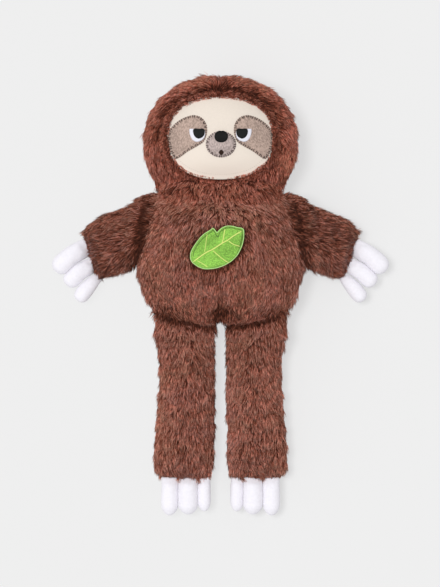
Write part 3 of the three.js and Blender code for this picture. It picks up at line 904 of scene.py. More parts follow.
def belly_look(points):
    """Fur pressed flat under the leaf, with painted shade in the dimple, under the arms, under the belly, at its
    lower corners and flanks and round the leaf's edge.
    """
    x, y, z = points.T / MM
    gap = from_outline(points, leaf_outline())
    front = z > 50
    above = front * fade(y, 34, 46)
    # Where painted shade falls on the belly's fur
    masks = {
        "dimple": spot(x, y, **BELLY_DIMPLE) * (z > 36),
        "seam": bell((shoulder_gap(points) + 1) / 4) * (y > 20),
        "underside": fade(z, 40, 34) * fade(y, -6, -11),
        "corner": spot(np.abs(x), y, **BELLY_CORNER),
        "flank": fade(y, 26, 14) * fade(np.abs(x), 34, 54),
        "leaf": front * bell((gap - 1.5) / 2.5) * (0.4 + 0.6 * above),
    }
    pile = np.where(front & (gap < 1), PRESSED_PILE, 1.0)
    pile *= 1 - above * np.clip(0.6 - np.maximum(gap, 0) / 16, 0, 1)
    tone = np.interp(y, (10, 45), (0.08, -0.02))
    return {"pile": pile, "tone": tone - sum(BELLY_SHADOWS[name] * mask for name, mask in masks.items())}


def leg_look(points):
    """Painted shadow where the belly hangs over the leg, longer fur at the hem and short at its outer corner."""
    x, y = points[:, :2].T / MM
    hem = fade(y, *LEG_HEM_Y)
    corner = fade(np.abs(x), *LEG_OUTER_CORNER)
    return {"pile": 1 + hem * (0.14 - 0.6 * corner), "tone": LEG_TONE - 0.8 * under_belly(points)}


def arm_look(points):
    """Painted shade on the arms' crosswise pile, a painted shadow along the shoulder seam, and painted light and
    shade that even out the key light; short fur at its top.
    """
    x, y = points[:, :2].T / MM
    shadow = bell(shoulder_gap(points) / 4.5) * fade(y, 80, 72)
    # Painted shade on the arms, painted light and shade from side to side against the key light, and a painted
    # shadow along the shoulder seam.
    tone = ARM_PAINTED_SHADE + ARM_PAINTED_SIDE_LIGHT * np.sign(x) - 0.55 * shadow
    return {"pile": np.interp(y, (66, 84), (1.0, 0.5)), "tone": tone}


def neck_look(points):
    """Painted shade in two dimples where the chin meets the shoulders, and shorter fur at the sides."""
    x, y, z = points.T / MM
    dimple = spot(np.abs(x), y, **NECK_DIMPLE) * (z > 45)
    return {"pile": np.interp(np.abs(x), (36, 51), (0.9, 0.4)), "tone": NECK_TONE - 0.45 * dimple}


# Coats

def kept(maker):
    """Makes a shared material or relief once."""
    store = []

    def get():
        if not store:
            store.append(maker())
        return store[0]
    return get


BACKING = kept(lambda: cloth_finish("backing_cloth", (0.12, 0.04, 0.026), (0.06, 0.02, 0.013)))
COAT = kept(lambda: coat_finish("coat_fur", bpy.context.scene.sloth_coat))
HEAD_COAT = kept(lambda: coat_finish("head_fur", bpy.context.scene.sloth_coat, (1.02, 0.9, 0.86)))


def dress(piece, slot, body, *nodes):
    """Puts a piece on its body and hides the CAD nodes that it stands for; the slot is not used."""
    if nodes:
        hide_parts(*nodes)
    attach(piece, body)
    return piece


def coat(body, mesh, flow, settings, replaced, look, finish):
    """Skin and fur of one body."""
    skin = skin_piece(f"{body}_backing_cloth", mesh, BACKING())
    dress(skin, "fur_cloth", body, *replaced)
    random = np.random.default_rng(settings.seed + len(body))
    roots, normals = scattered(mesh, settings.density, random)
    for locks in fur(f"{body}_fur", roots, normals, flow(roots, normals), settings, finish, **look(roots)):
        dress(locks, "fur_cloth", body)


class SLOTH_OT_torso_coat(bpy.types.Operator):
    """Backing cloth and fur of the torso"""

    bl_idname = "sloth.torso_coat"
    bl_label = "Torso coat"

    def execute(self, context):
        panels = ["torso_front_panel", "torso_back_panel"]
        mesh = sewn_skin("torso", *panels)
        shape_belly(mesh)
        coat("torso", mesh, flow_torso, context.scene.sloth_coat, panels, belly_look, COAT())
        return {"FINISHED"}


FRINGE_LOCKS = 2600
FRINGE_REACH = 4.2 * MM
FRINGE_PILE, FRINGE_LIFT = 0.36, 1.4


class SLOTH_OT_head_coat(bpy.types.Operator):
    """Hood: backing cloth with its roll and dart, the fur, and the fringe over the face's edge"""

    bl_idname = "sloth.head_coat"
    bl_label = "Head coat"

    def execute(self, context):
        settings = context.scene.sloth_coat
        panels = ["head_front_panel", "head_back_panel"]
        mesh = sewn_skin("head", *panels)
        shape_hood(mesh)
        turn_in_rim(mesh)
        coat("head", mesh, flow_head, settings, panels, hood_look, HEAD_COAT())
        self.fringe(settings)
        return {"FINISHED"}

    @staticmethod
    def fringe(settings):
        """Short locks along the face panel's edge, some of them leaning in over it at the top."""
        random = np.random.default_rng(settings.seed)
        shuffled = np.argsort(random.random((2, FRINGE_LOCKS))[1])
        edge = face_edge(FRINGE_LOCKS, 0.0)[shuffled]
        x, y = (edge - FACE_MIDDLE[:2]).T
        angle = np.arctan2(y, x)
        cos, sin = np.cos(angle), np.sin(angle)
        outward = unit(on_plan(cos * FACE_HALF[1], sin * FACE_HALF[0]))
        below = np.clip(-0.2 - sin, 0, 0.8)
        gap = random.uniform(0, FRINGE_REACH, FRINGE_LOCKS) + (1.6 * below - 0.3 - 0.9 * cos**6) * MM
        place = edge + outward[:, :2] * gap[:, None]
        roots = np.stack([*place.T, FACE()(*place.T) + 0.4 * MM], -1)
        side = np.sign(cos)
        down = on_plan(side * outward[:, 1], -side * outward[:, 0])
        inward = np.clip(0.2 + 0.6 * sin, 0, 0.6)
        lean = random.random(FRINGE_LOCKS) * (0.8 + inward) - inward
        flow = lean[:, None] * outward + 0.55 * down
        # Painted shade along the face's edge, deeper at its top and sides where the hood's roll shades it.
        tone = -0.18 - 0.12 * np.clip(sin + 0.5, 0, 1) - 0.15 * cos**4
        for locks in fur("head_fringe", roots, unit(outward * 0.5 + UP), flow, settings, HEAD_COAT(),
                         pile=FRINGE_PILE, lift=FRINGE_LIFT, tone=tone):
            dress(locks, "fur_cloth", "head")


class SLOTH_OT_limb_coats(bpy.types.Operator):
    """Backing cloth and fur of the arms and legs"""

    bl_idname = "sloth.limb_coats"
    bl_label = "Limb coats"

    def execute(self, context):
        for limb in LIMBS:
            panels = [f"{limb}_front_panel", f"{limb}_back_panel"]
            flow, look = (flow_arm, arm_look) if limb.startswith("arm") else (flow_leg, leg_look)
            coat(limb, sewn_skin(limb, *panels), flow, context.scene.sloth_coat, panels, look, COAT())
        return {"FINISHED"}


# Cloth across the joints

NECK_SLEEVE = {
    "inwards": 12 * MM, "outwards": 9 * MM, "half": 51 * MM, "front": 25 * MM, "back": 17 * MM,
    "swell": (1, 0.86, 0.66)}
SHOULDER_SLEEVE = {
    "inwards": 7 * MM, "outwards": 12 * MM, "half": 27 * MM, "front": 8 * MM, "back": 8 * MM,
    "swell": (1, 0.86, 1), "lean": 0.6, "lower": -2.6 * MM}
HIP_SLEEVE = {
    "inwards": 9 * MM, "outwards": 12 * MM, "half": 22.5 * MM, "front": 6 * MM, "back": 8 * MM,
    "swell": (1, 0.86, 1), "aside": 2 * MM}
SLEEVE_RINGS, SLEEVE_SIDES = 12, 56
SLEEVE_WIDTH_POWER, SLEEVE_DEPTH_POWER = 0.7, 0.9
SLEEVE_END = 0.7
BLEND_SHARE = 0.6


def out_of_joint(joint):
    """Where a joint turns, its axis, and the level direction from parent to child."""
    pivot = np.array(joint["pos_m"])
    axis = unit(np.array(joint["axis"], float))
    out = np.cross(axis, UP)
    boxes = [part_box(node) for node in frame["record"]["behaviour"]["bodies"][joint["child"]]]
    middle = np.mean(boxes, (0, 1))
    return pivot, axis, out if (middle - pivot) @ out > 0 else -out


def squared(wave, power):
    return np.sign(wave) * np.abs(wave) ** power


def sleeve_rings(pivot, axis, out, size):
    """Rings of a flat tube that crosses a seam, with its front and back of their own depth."""
    downhill = -axis * np.sign(axis[1])
    angle = np.linspace(0, 2 * np.pi, SLEEVE_SIDES, endpoint=False)
    wide = squared(np.cos(angle), SLEEVE_WIDTH_POWER)
    deep = squared(np.sin(angle), SLEEVE_DEPTH_POWER)
    rings = []
    for share in np.linspace(0, 1, SLEEVE_RINGS):
        place = -size["inwards"] + (size["inwards"] + size["outwards"]) * share
        swell = np.interp(share, (0, 0.5, 1), size["swell"])
        depth = np.where(deep > 0, size["front"], size["back"]) * deep * swell
        centre = pivot + out * place + downhill * (size.get("lean", 0) * max(place, 0) + size.get("lower", 0))
        rings.append(centre + axis * size["half"] * wide[:, None] + UP * depth[:, None])
    return np.array(rings)


def crossing_sleeve(name, joint, size, flow, settings, look, finish):
    """A flat tube of furry cloth over a joint's seam."""
    joint = JOINTS[joint]
    pivot, axis, out = out_of_joint(joint)
    pivot = pivot + np.array((math.copysign(size.get("aside", 0), pivot[0]), 0, 0))
    rings = sleeve_rings(pivot, axis, out, size)
    skin = outwards(mesh_from(f"{name}_backing_cloth", *capped_grid(rings), BACKING()))
    random = np.random.default_rng(settings.seed + len(name))
    roots, normals = scattered(skin.data, settings.density, random)
    side = np.abs(normals @ out) < SLEEVE_END
    roots, normals = roots[side], normals[side]
    locks = fur(f"{name}_fur", roots, normals, flow(roots, normals), settings, finish, **look(roots))
    start = tuple(pivot - out * size["inwards"] * BLEND_SHARE)
    end = tuple(pivot + out * size["outwards"] * BLEND_SHARE)
    for piece in (skin, *locks):
        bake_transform(piece)


class SLOTH_OT_seam_sleeves(bpy.types.Operator):
    """Furry cloth over the neck, shoulder and hip seams"""

    bl_idname = "sloth.seam_sleeves"
    bl_label = "Seam sleeves"

    def execute(self, context):
        settings = context.scene.sloth_coat
        crossing_sleeve("neck", "neck_nod", NECK_SLEEVE, flow_torso, settings, neck_look, HEAD_COAT())
        for side in SIDES:
            for name, size, flow, look in (
                    (f"shoulder_{side}", SHOULDER_SLEEVE, flow_arm, arm_look),
                    (f"hip_{side}", HIP_SLEEVE, flow_leg, leg_look)):
                crossing_sleeve(name, name, size, flow, settings, look, COAT())
        return {"FINISHED"}


# Face

FACE = kept(lambda: Relief("face_panel"))
CHEST = kept(lambda: Relief("torso_front_panel"))
EYE_PATCH = [
    (44.2, 137.7), (41, 142.9), (35.1, 148), (28.5, 151.2), (22.6, 152.4), (16.6, 150.6), (12.4, 145.6),
    (11.4, 138.6), (13.9, 130.5), (20, 126), (27.5, 121.8), (37.6, 115.4), (42, 121.2), (44.2, 129.2),
]
PUPIL = [
    (23.4, 139.4), (22.8, 140.7), (21.4, 141.2), (18.4, 141.0), (15.2, 141.2), (14.0, 140.6), (13.4, 139.2),
    (13.4, 137.2), (13.9, 135.4), (15.1, 133.8), (16.8, 132.8), (18.6, 132.4), (20.4, 133), (21.9, 134.3),
    (22.9, 136.1), (23.4, 138),
]
EYE_WHITE = [
    (26.3, 140.6), (25.1, 141), (22, 140.9), (18, 140.9), (14, 140.2), (13, 137.5), (13.4, 134.2),
    (15, 131.7), (17.1, 130.5), (20.3, 129.8), (23.5, 131.3), (25.4, 134.4), (26.3, 137.6),
]
MUZZLE_MIDDLE, MUZZLE_HALF = (0.4, 127.8), (12.8, 11.1)
NOSE_MIDDLE, NOSE_HALF = (0.6, 134.3), (5.8, 5.1)
MOUTH_MIDDLE, MOUTH_HALF = (0.7, 120.9), (2.1, 2.4)
NOTCH_WIDTH = 0.16
PATCH_RINGS = np.array([1, 0.99, 0.96, 0.91, 0.84, 0.74, 0.62, 0.48, 0.32, 0.16, 0.04])
PATCH_EDGE = 0.09
PATCH_STITCH = {
    "pitch": 2.0, "outer": 0.1, "inner": 2.3, "low": 0.5, "high": 1.2, "radius": 0.34, "slant": 0.18}
MUZZLE_STITCH = {
    "pitch": 2.0, "outer": 0.1, "inner": 2.4, "low": 1.0, "high": 2.1, "radius": 0.34, "slant": 0.18}
HEM_STITCH = {
    "pitch": 1.9, "outer": 0.5, "inner": 0.5, "low": -0.05, "high": 0.14, "radius": 0.16, "slant": 0.5,
    "below": 116}
STITCH_ARCH = np.array([-0.5, 0.55, 1, 0.75, -0.6])
STITCH_TAPER = np.array([0.6, 1, 1, 1, 0.6])


def oval(middle, half, count, fullness=2.0, notch=0.0):
    """A superellipse in plan, with a small notch in its upper edge where one is asked for."""
    angle = np.linspace(0, 2 * np.pi, count, endpoint=False)
    cos, sin = np.cos(angle), np.sin(angle)
    radius = (np.abs(cos) ** fullness + np.abs(sin) ** fullness) ** (-1 / fullness)
    radius *= 1 - notch * bell((angle - np.pi / 2) / NOTCH_WIDTH)
    return np.stack([cos * radius * half[0], sin * radius * half[1]], -1) + np.array(middle)


def face_edge(count, grow):
    """The face panel's outline in metres, grown outwards."""
    return oval(FACE_MIDDLE[:2], FACE_HALF[:2] + grow, count, FACE_FULLNESS)


def applique(name, outline, relief, low, high, finish, crown):
    """A cut patch lying on a relief: rounded edge, slight crown, closed underneath. Outline in mm."""
    outline = np.asarray(outline) * MM
    middle = outline.mean(0)
    plans = middle + (outline - middle) * PATCH_RINGS[:, None, None]
    rise = np.sqrt(np.clip((1 - PATCH_RINGS) / PATCH_EDGE, 0, 1))
    top = low + (high - low) * (0.3 + 0.7 * rise) + crown * (1 - PATCH_RINGS**2)
    bottom = np.full(len(top), low)
    sheets = []
    for level, order in ((bottom, slice(None, None, -1)), (top, slice(None))):
        height = relief(plans[..., 0], plans[..., 1]) + level[:, None] * MM
        sheets.append(np.concatenate([plans, height[..., None]], -1)[order])
    return outwards(mesh_from(name, *capped_grid(np.concatenate(sheets)), finish))


def strokes(name, outline, relief, size, finish, random):
    """Short stitches over the edge of a patch, slanting one way and the other. Sizes in mm."""
    outline = np.asarray(outline)
    run = np.linalg.norm(np.roll(outline, -1, 0) - outline, axis=1).sum()
    path = smooth_curve(outline, int(run / size["pitch"]), closed=True)
    along = unit(np.roll(path, -1, 0) - np.roll(path, 1, 0))
    inward = np.stack([-along[:, 1], along[:, 0]], -1)
    inward *= np.sign(((path.mean(0) - path) * inward).sum(1).mean())
    chosen = np.nonzero(path[:, 1] < size.get("below", np.inf))[0]
    parts = []
    for i in chosen:
        turn = size["slant"] * (1 if i % 2 else -1) + random.normal(0, 0.1)
        across = inward[i] * math.cos(turn) + along[i] * math.sin(turn)
        reach = np.linspace(-size["outer"], size["inner"] * random.uniform(0.85, 1.15), 5)[:, None]
        plan = (path[i] + across * reach) * MM
        level = size["low"] + (size["high"] - size["low"]) * STITCH_ARCH
        height = relief(plan[:, 0], plan[:, 1]) + level * MM
        thread = size["radius"] * MM * STITCH_TAPER
        parts.append(tube(np.concatenate([plan, height[:, None]], -1), thread, 5))
    return outwards(mesh_from(name, *join_parts(parts), finish))


def darker(colour, share):
    return tuple(share * channel for channel in colour)


def thread_finish(name, colour, roughness=0.55):
    """Twisted thread: fine slanting ridges."""
    def ridges(tree):
        wave = tree.node("ShaderNodeTexWave", {"wave_type": "BANDS", "bands_direction": "DIAGONAL"}, {
            "Vector": tree.position(), "Scale": 900.0, "Distortion": 0.6})
        return tree.bump(wave, 0.5, 0.12 * MM)

    def shade(tree):
        return tree.mix(tree.noise(1400.0, 2.0), darker(colour, 0.72), colour)
    return material(name, shade, roughness=roughness, normal=ridges, specular=0.3)


def satin_finish(name, colour, deep):
    """Satin stitch: rows of thread side by side."""
    def rows(tree):
        return tree.node("ShaderNodeTexWave", {"wave_type": "BANDS", "bands_direction": "X"}, {
            "Vector": tree.position(), "Scale": 420.0, "Distortion": 1.5, "Detail": 2.0, "Detail Scale": 3.0})

    def shade(tree):
        return tree.mix(rows(tree), deep, colour)

    def ridges(tree):
        return tree.bump(rows(tree), 0.6, 0.2 * MM)
    return material(name, shade, roughness=0.5, normal=ridges, specular=0.1)


def felt_finish(name, colour, deep, scale, fuzz, sheen=0.25, spread=0.2, painted_light_below=None):
    """Pressed short-pile cloth: soft mottling with fine fibres, with painted light towards a low Y where one is
    given.
    """
    def shade(tree):
        cloud = tree.noise(60.0, 3.0)
        fibre = tree.noise(scale, 4.0)
        share = tree.grey(cloud * 0.25 + fibre * 0.75, 0.0, 1.0, 0.5 - spread, 0.5 + spread)
        mottled = tree.mix(share, deep, colour)
        if painted_light_below is None:
            return mottled
        # Painted light: paler towards low Y, evening out the key light, which falls less on the lower face.
        up = tree.node("ShaderNodeSeparateXYZ", None, {"Vector": tree.position()}, output=1)
        return tree.mix(tree.grey(up, 1.0, 0.0, *painted_light_below), mottled, darker(colour, 1.07))

    def nap(tree):
        return tree.bump(tree.noise(scale * 1.6, 3.0), fuzz, 0.25 * MM)
    return material(name, shade, roughness=0.92, normal=nap, sheen=sheen, specular=0.15)


STREAK_STRETCH = (1, 0.4, 1)


def streaked_finish(name, colour, deep, turn):
    """Brushed short pile with streaks one way, as on the eye patches and muzzle."""
    def streaks(tree, scale):
        return tree.noise(scale, 3.0, STREAK_STRETCH, turn)

    def shade(tree):
        share = tree.grey(streaks(tree, 1150.0) * 0.75 + tree.noise(60.0, 2.0) * 0.25, 0.0, 1.0, 0.4, 0.6)
        return tree.mix(share, deep, colour)

    def nap(tree):
        return tree.bump(streaks(tree, 700.0), 0.6, 0.35 * MM)
    return material(name, shade, roughness=0.85, normal=nap, sheen=0.15, specular=0.15)


WHITE_SATIN = (0.9, 0.9, 0.96), (0.74, 0.73, 0.82)
PUPIL_SATIN = (0.013, 0.014, 0.014), (0.005, 0.006, 0.006)
NOSE_SATIN = (0.01, 0.01, 0.0095), (0.004, 0.004, 0.004)
MOUTH_SATIN = (0.04, 0.02, 0.013), (0.018, 0.01, 0.007)
# Span over which the face cloth's painted light fades, full at its low end.
FACE_PAINTED_LIGHT_Y = (102 * MM, 140 * MM)


class SLOTH_OT_face(bpy.types.Operator):
    """Face cloth, eye patches, eyes, muzzle, nose and mouth with their stitching"""

    bl_idname = "sloth.face"
    bl_label = "Face"

    def execute(self, context):
        settings = context.scene.sloth_face
        random = np.random.default_rng(context.scene.sloth_coat.seed + 3)
        self.panel(settings, random)
        stitch = thread_finish("patch_thread", tuple(settings.stitch_colour), 0.8)
        for side, sign in SIDES.items():
            self.eye(side, sign, settings, stitch, random)
        self.muzzle(settings, stitch, random)
        return {"FINISHED"}

    @staticmethod
    def sewn(name, outline, levels, crown, finish, slot, *nodes):
        """A patch or a piece of embroidery on the face panel. Levels over the panel in mm."""
        low, high = levels
        dress(applique(name, outline, FACE(), low, high, finish, crown), slot, "head", *nodes)

    @staticmethod
    def stitched(name, outline, size, thread, slot, random):
        dress(strokes(name, outline, FACE(), size, thread, random), slot, "head")

    def panel(self, settings, random):
        cloth = tuple(settings.cloth_colour)
        deep = darker(cloth, 0.94)
        velour = felt_finish("face_velour", cloth, deep, 700.0, 0.18, 0.1, painted_light_below=FACE_PAINTED_LIGHT_Y)
        edge = face_edge(120, 0.5 * MM) / MM
        self.sewn("face_cloth", edge, (-0.6, 0.0), 0.0, velour, "face_cloth", "face_panel")
        hem = face_edge(160, -3.8 * MM) / MM
        thread = thread_finish("face_hem_thread", darker(cloth, 0.8), 0.9)
        self.stitched("face_hem_stitch", hem, HEM_STITCH, thread, "face_cloth", random)

    def eye(self, side, sign, settings, stitch, random):
        colour = tuple(settings.patch_colour)
        velour = streaked_finish(f"patch_velour_{side}", colour, darker(colour, 0.56), -0.55 * sign)
        white = satin_finish(f"white_satin_{side}", *WHITE_SATIN)
        black = satin_finish(f"pupil_satin_{side}", *PUPIL_SATIN)
        patch, iris, pupil = (
            smooth_curve(line, count, closed=True) * (sign, 1)
            for line, count in ((EYE_PATCH, 110), (EYE_WHITE, 72), (PUPIL, 72)))
        node = f"eye_patch_{side}"
        self.sewn(f"{node}_velour", patch, (0.0, 0.5), 0.6, velour, "patch_cloth", node)
        self.stitched(f"{node}_stitch", patch, PATCH_STITCH, stitch, "brown_thread", random)
        node = f"eye_white_{side}"
        self.sewn(f"{node}_satin", iris, (0.9, 2.3), 0.3, white, "white_thread", node)
        node = f"pupil_{side}"
        self.sewn(f"{node}_satin", pupil, (1.6, 3.0), 0.5, black, "black_thread", node)

    def muzzle(self, settings, stitch, random):
        colour = tuple(settings.muzzle_colour)
        velour = streaked_finish("muzzle_velour", colour, darker(colour, 0.56), 0.0)
        black = satin_finish("nose_satin", *NOSE_SATIN)
        brown = satin_finish("mouth_satin", *MOUTH_SATIN)
        muzzle = oval(MUZZLE_MIDDLE, MUZZLE_HALF, 96)
        nose = oval(NOSE_MIDDLE, NOSE_HALF, 64, 2.15, 0.07)
        mouth = oval(MOUTH_MIDDLE, MOUTH_HALF, 36, 1.6)
        self.sewn("muzzle_cloth", muzzle, (0.1, 1.5), 1.0, velour, "muzzle_cloth", "muzzle_patch")
        self.stitched("muzzle_stitch", muzzle, MUZZLE_STITCH, stitch, "brown_thread", random)
        self.sewn("nose_embroidery", nose, (1.4, 3.4), 0.7, black, "black_thread", "nose_patch")
        self.sewn("mouth_embroidery", mouth, (1.4, 2.9), 0.2, brown, "brown_thread", "mouth_patch")


# Leaf

LEAF_LEFT_EDGE = [
    (-23.3, 27.2), (-25.2, 30.2), (-25.4, 34.2), (-24.2, 38.2), (-21.6, 42.6), (-18, 47.4), (-14.2, 51.4),
    (-9.8, 54.2), (-6.3, 56.6),
]
LEAF_RIGHT_EDGE = [
    (-3, 52.8), (0.6, 56.3), (4.6, 58.2), (9.2, 58.4), (14.2, 57.2), (19, 56), (19.8, 51.4), (19.2, 46),
    (17.4, 40), (14.2, 34), (9.6, 29.2), (4, 25.7), (-2, 23.4), (-8, 22.3), (-14, 22.3), (-19.2, 24.2),
]
LEAF_INNER_LINE = [
    (-22.6, 32), (-22.8, 36), (-20.4, 41), (-16.6, 46), (-12.4, 50.2), (-8.2, 53.2), (-6, 54.6), (-4.2, 51.8),
    (-2.2, 48.8), (-1, 52), (0.8, 54.4), (4.6, 56.6), (9.2, 56.9), (14, 55.7), (17.6, 54.6), (18.3, 50.6),
    (17.4, 45), (15.6, 39.6),
]
LEAF_VEINS = [
    ([(-23.2, 28), (-12.8, 35.6), (-6.4, 38.8), (1.3, 43.8), (6.6, 46.8), (11, 50), (18, 54.2)], 0.55),
    ([(-13.4, 36.6), (-12.2, 45), (-11.2, 52)], 0.3),
    ([(1.3, 43.8), (2.3, 47.4), (3.6, 55.6)], 0.45),
    ([(7, 45.8), (10.8, 43), (16.4, 41.2)], 0.4),
    ([(-6.4, 37.6), (-1.6, 33.4), (3.2, 29.6), (7, 27.4)], 0.4),
    ([(-19.4, 29), (-15.6, 26.8), (-11, 23.8)], 0.35),
]
LEAF_TOP = 3.42
LEAF_DOME = {"rise": 0.6, "half": (24, 17)}
THREAD_STEP = 0.5


def leaf_outline():
    return np.vstack([smooth_curve(LEAF_LEFT_EDGE, 40), smooth_curve(LEAF_RIGHT_EDGE, 90)])


def laid_thread(line, relief, level, radius, closed=False, ridges=0.0):
    """A thread laid along a plan line on a relief, as points and triangles. Sizes in mm."""
    count = max(14, int(np.linalg.norm(np.diff(line, axis=0), axis=1).sum() / THREAD_STEP))
    plan = smooth_curve(line, count, closed) * MM
    height = relief(plan[:, 0], plan[:, 1]) + level * MM
    swell = radius * MM * (1 + ridges * np.sin(np.arange(count) * 2.1))
    if not closed:
        swell *= np.clip(0.55 + 3 * np.sin(np.linspace(0, np.pi, count)), 0.55, 1)
    return tube(np.concatenate([plan, height[:, None]], -1), swell, 7, closed)


class SLOTH_OT_leaf(bpy.types.Operator):
    """Leaf of felt with a stitched edge and veins"""

    bl_idname = "sloth.leaf"
    bl_label = "Leaf"

    def execute(self, context):
        settings = context.scene.sloth_leaf
        green = tuple(settings.felt_colour)
        outline = leaf_outline()
        middle = outline.mean(0)
        felt = felt_finish("leaf_felt", green, darker(green, 0.45), 1300.0, 0.8, 0.1, 0.08)
        leaf = applique("leaf_felt_patch", outline, CHEST(), 0.4, 3.4, felt, crown=0.6)
        dress(leaf, "leaf_felt", "torso", "leaf_patch")

        def on_top(x, y):
            wide, tall = LEAF_DOME["half"]
            share = np.clip(np.hypot((x / MM - middle[0]) / wide, (y / MM - middle[1]) / tall), 0, 1)
            return CHEST()(x, y) + (LEAF_TOP + LEAF_DOME["rise"] * (1 - share**2)) * MM

        edge = laid_thread(outline, CHEST(), 2.7, 0.38, True, 0.12)
        inner = laid_thread(LEAF_INNER_LINE, on_top, 0.0, 0.28)
        veins = join_parts([
            laid_thread(line, on_top, 0.0, radius, ridges=0.14) for line, radius in LEAF_VEINS])
        for name, shape, colour, nodes in (
                ("leaf_edge_thread", edge, settings.edge_colour, ["leaf_border"]),
                # A dark thread laid inside the edge: painted shade inside the stitched edge.
                ("leaf_painted_shadow_line", inner, darker(green, 0.2), []),
                ("leaf_vein_threads", veins, settings.vein_colour, ["leaf_veins"])):
            piece = outwards(mesh_from(name, *shape, thread_finish(name, tuple(colour))))
            dress(piece, "leaf_thread", "torso", *nodes)
        return {"FINISHED"}


# Claws

HAND_CLAW_PROFILE = [
    (0.0, 0.36), (0.08, 0.48), (0.18, 0.63), (0.3, 0.8), (0.43, 0.93), (0.57, 1.0), (0.72, 1.01),
    (0.84, 0.96), (0.92, 0.8), (0.97, 0.54), (0.994, 0.22),
]
FOOT_CLAW_PROFILE = [
    (0.0, 0.9), (0.06, 0.93), (0.14, 0.96), (0.25, 0.98), (0.4, 1.0), (0.6, 1.01), (0.75, 1.0), (0.84, 0.88),
    (0.91, 0.67), (0.96, 0.45), (0.992, 0.18),
]
CLAW_GAP, CLAW_FUZZ = 0.15 * MM, 0.3 * MM
CLAW_SEAM_DEPTH, CLAW_SEAM_WIDTH = 0.055, 0.1
CLAW_THICKNESS = 0.93
CLAW_RINGS, CLAW_SIDES = 34, 40


def claw_line(node):
    """A claw's root, the level direction across it, the one along it, its length and half its width."""
    root, axis, out = out_of_joint(JOINTS[f"{node}_bend"])
    solid = array_of(frame["nodes"][node].data.vertices, "co", 3) - root
    axis = axis * -math.copysign(1, axis[1])
    half = np.ptp(solid @ axis) / 2 * bpy.context.scene.sloth_claws.fullness
    return root, axis, out, (solid @ out).max(), half


def claw_width(node, share, lower):
    """Half widths of a claw at shares of its length, on its lower side where lower is set."""
    half = claw_line(node)[4]
    if node.startswith("foot"):
        return half * np.interp(share, *np.transpose(FOOT_CLAW_PROFILE))
    width = np.interp(share, *np.transpose(HAND_CLAW_PROFILE))
    full = 0.75 if node.endswith("_lower") else 1.5
    fuller = np.maximum(width, np.interp(share, (0, 0.5, 0.6), (full, 1, 0)))
    return half * np.where(lower, fuller, width)


def pressed(points, node):
    """Flattens a claw's sides where they meet the next claws of the same hand or foot."""
    root, _, out, _, half = claw_line(node)
    limb = node.rpartition("_")[0]
    for other in (name for name in frame["nodes"] if name.startswith(f"{limb}_") and name != node):
        next_root, next_axis, next_out, next_length, next_half = claw_line(other)
        centres = root + out * ((points - root) @ out)[..., None]
        gap = next_root - centres
        share = -(gap @ next_out) / next_length
        gap = gap - next_out * (gap @ next_out)[..., None]
        reach = np.linalg.norm(gap, axis=-1)
        towards = gap / reach[..., None]
        next_width = claw_width(other, share, -(towards @ next_axis) > 0)
        taken = np.minimum(next_width, reach * next_half / (half + next_half))
        over = ((points - centres) * towards).sum(-1) - (reach - taken - CLAW_GAP)
        points = points - towards * np.maximum(over, 0)[..., None]
    return points


class SLOTH_OT_claws(bpy.types.Operator):
    """Twelve stuffed felt claws with a side seam and creases at the root"""

    bl_idname = "sloth.claws"
    bl_label = "Claws"

    def execute(self, context):
        settings = context.scene.sloth_claws
        white = tuple(settings.felt_colour)
        felt = felt_finish("claw_felt", white, darker(white, 0.93), 520.0, 0.35, 0.2)
        for node in (node for node in frame["nodes"] if "_claw_" in node):
            piece = self.claw(node, felt, settings)
            dress(piece, "claw_felt", node, node)
        return {"FINISHED"}

    @staticmethod
    def claw(node, felt, settings):
        root, axis, out, length, half = claw_line(node)
        knots = HAND_CLAW_PROFILE if node.startswith("hand") else FOOT_CLAW_PROFILE
        profile = smooth_curve(knots, CLAW_RINGS)
        angle = np.linspace(0, 2 * np.pi, CLAW_SIDES, endpoint=False)
        random = np.random.default_rng(sum(node.encode()))
        seam = 1 - CLAW_SEAM_DEPTH * bell(np.sin(angle) / CLAW_SEAM_WIDTH)
        rings = []
        for share, wide in profile:
            lying = np.clip(1 - share / 0.2, 0, 1)
            thick = wide * CLAW_THICKNESS * (1 - 0.45 * lying)
            side = claw_width(node, share, np.cos(angle) > 0)
            aside = np.cos(angle) * side * seam
            rise = np.sin(angle) * thick * half * seam - 0.7 * np.maximum(aside - wide * half, 0)
            ring = axis * aside[:, None] + UP * rise[:, None]
            rings.append(root + out * (length + CLAW_FUZZ) * share + ring)
        rings = np.array(rings)
        centres = rings.mean(1, keepdims=True)
        near_root = np.clip(1 - profile[:, 0] / 0.35, 0, 1)[:, None]
        spots = rings.reshape(-1, 3)
        dents = waves(spots, 9 * MM, 1.0, random) + waves(spots, 4 * MM, 0.6, random)
        dents = dents.reshape(rings.shape[:2])
        rings += unit(rings - centres) * (settings.wrinkle * (0.4 + 0.9 * near_root) * dents)[..., None]
        return outwards(mesh_from(f"{node}_felt", *capped_grid(pressed(rings, node)), felt))


class SLOTH_OT_inside(bpy.types.Operator):
    """Finishes of the stuffing and the seam threads, which keep their own shape"""

    bl_idname = "sloth.inside"
    bl_label = "Stuffing and threads"

    def execute(self, context):
        fibre = felt_finish("stuffing_fibre", (0.86, 0.86, 0.82), (0.7, 0.7, 0.66), 180.0, 0.8)
        thread = thread_finish("seam_thread", (0.06, 0.025, 0.018))
        for name, node in frame["nodes"].items():
            finish = fibre if name.endswith("_stuffing") else thread if "_seam" in name else None
            if finish:
                for material_slot in node.material_slots:
                    material_slot.material = finish
        return {"FINISHED"}


# Stage

FLOOR_HALF = 6.0
PAPER_SHARES = (0.893, 0.897)
LIT_SIDE_EVENNESS = 0.93
SHADOW_SIDE = (-50 * MM, 22 * MM)
KEY_DIRECTION = (0.22, -0.07, -1.0)


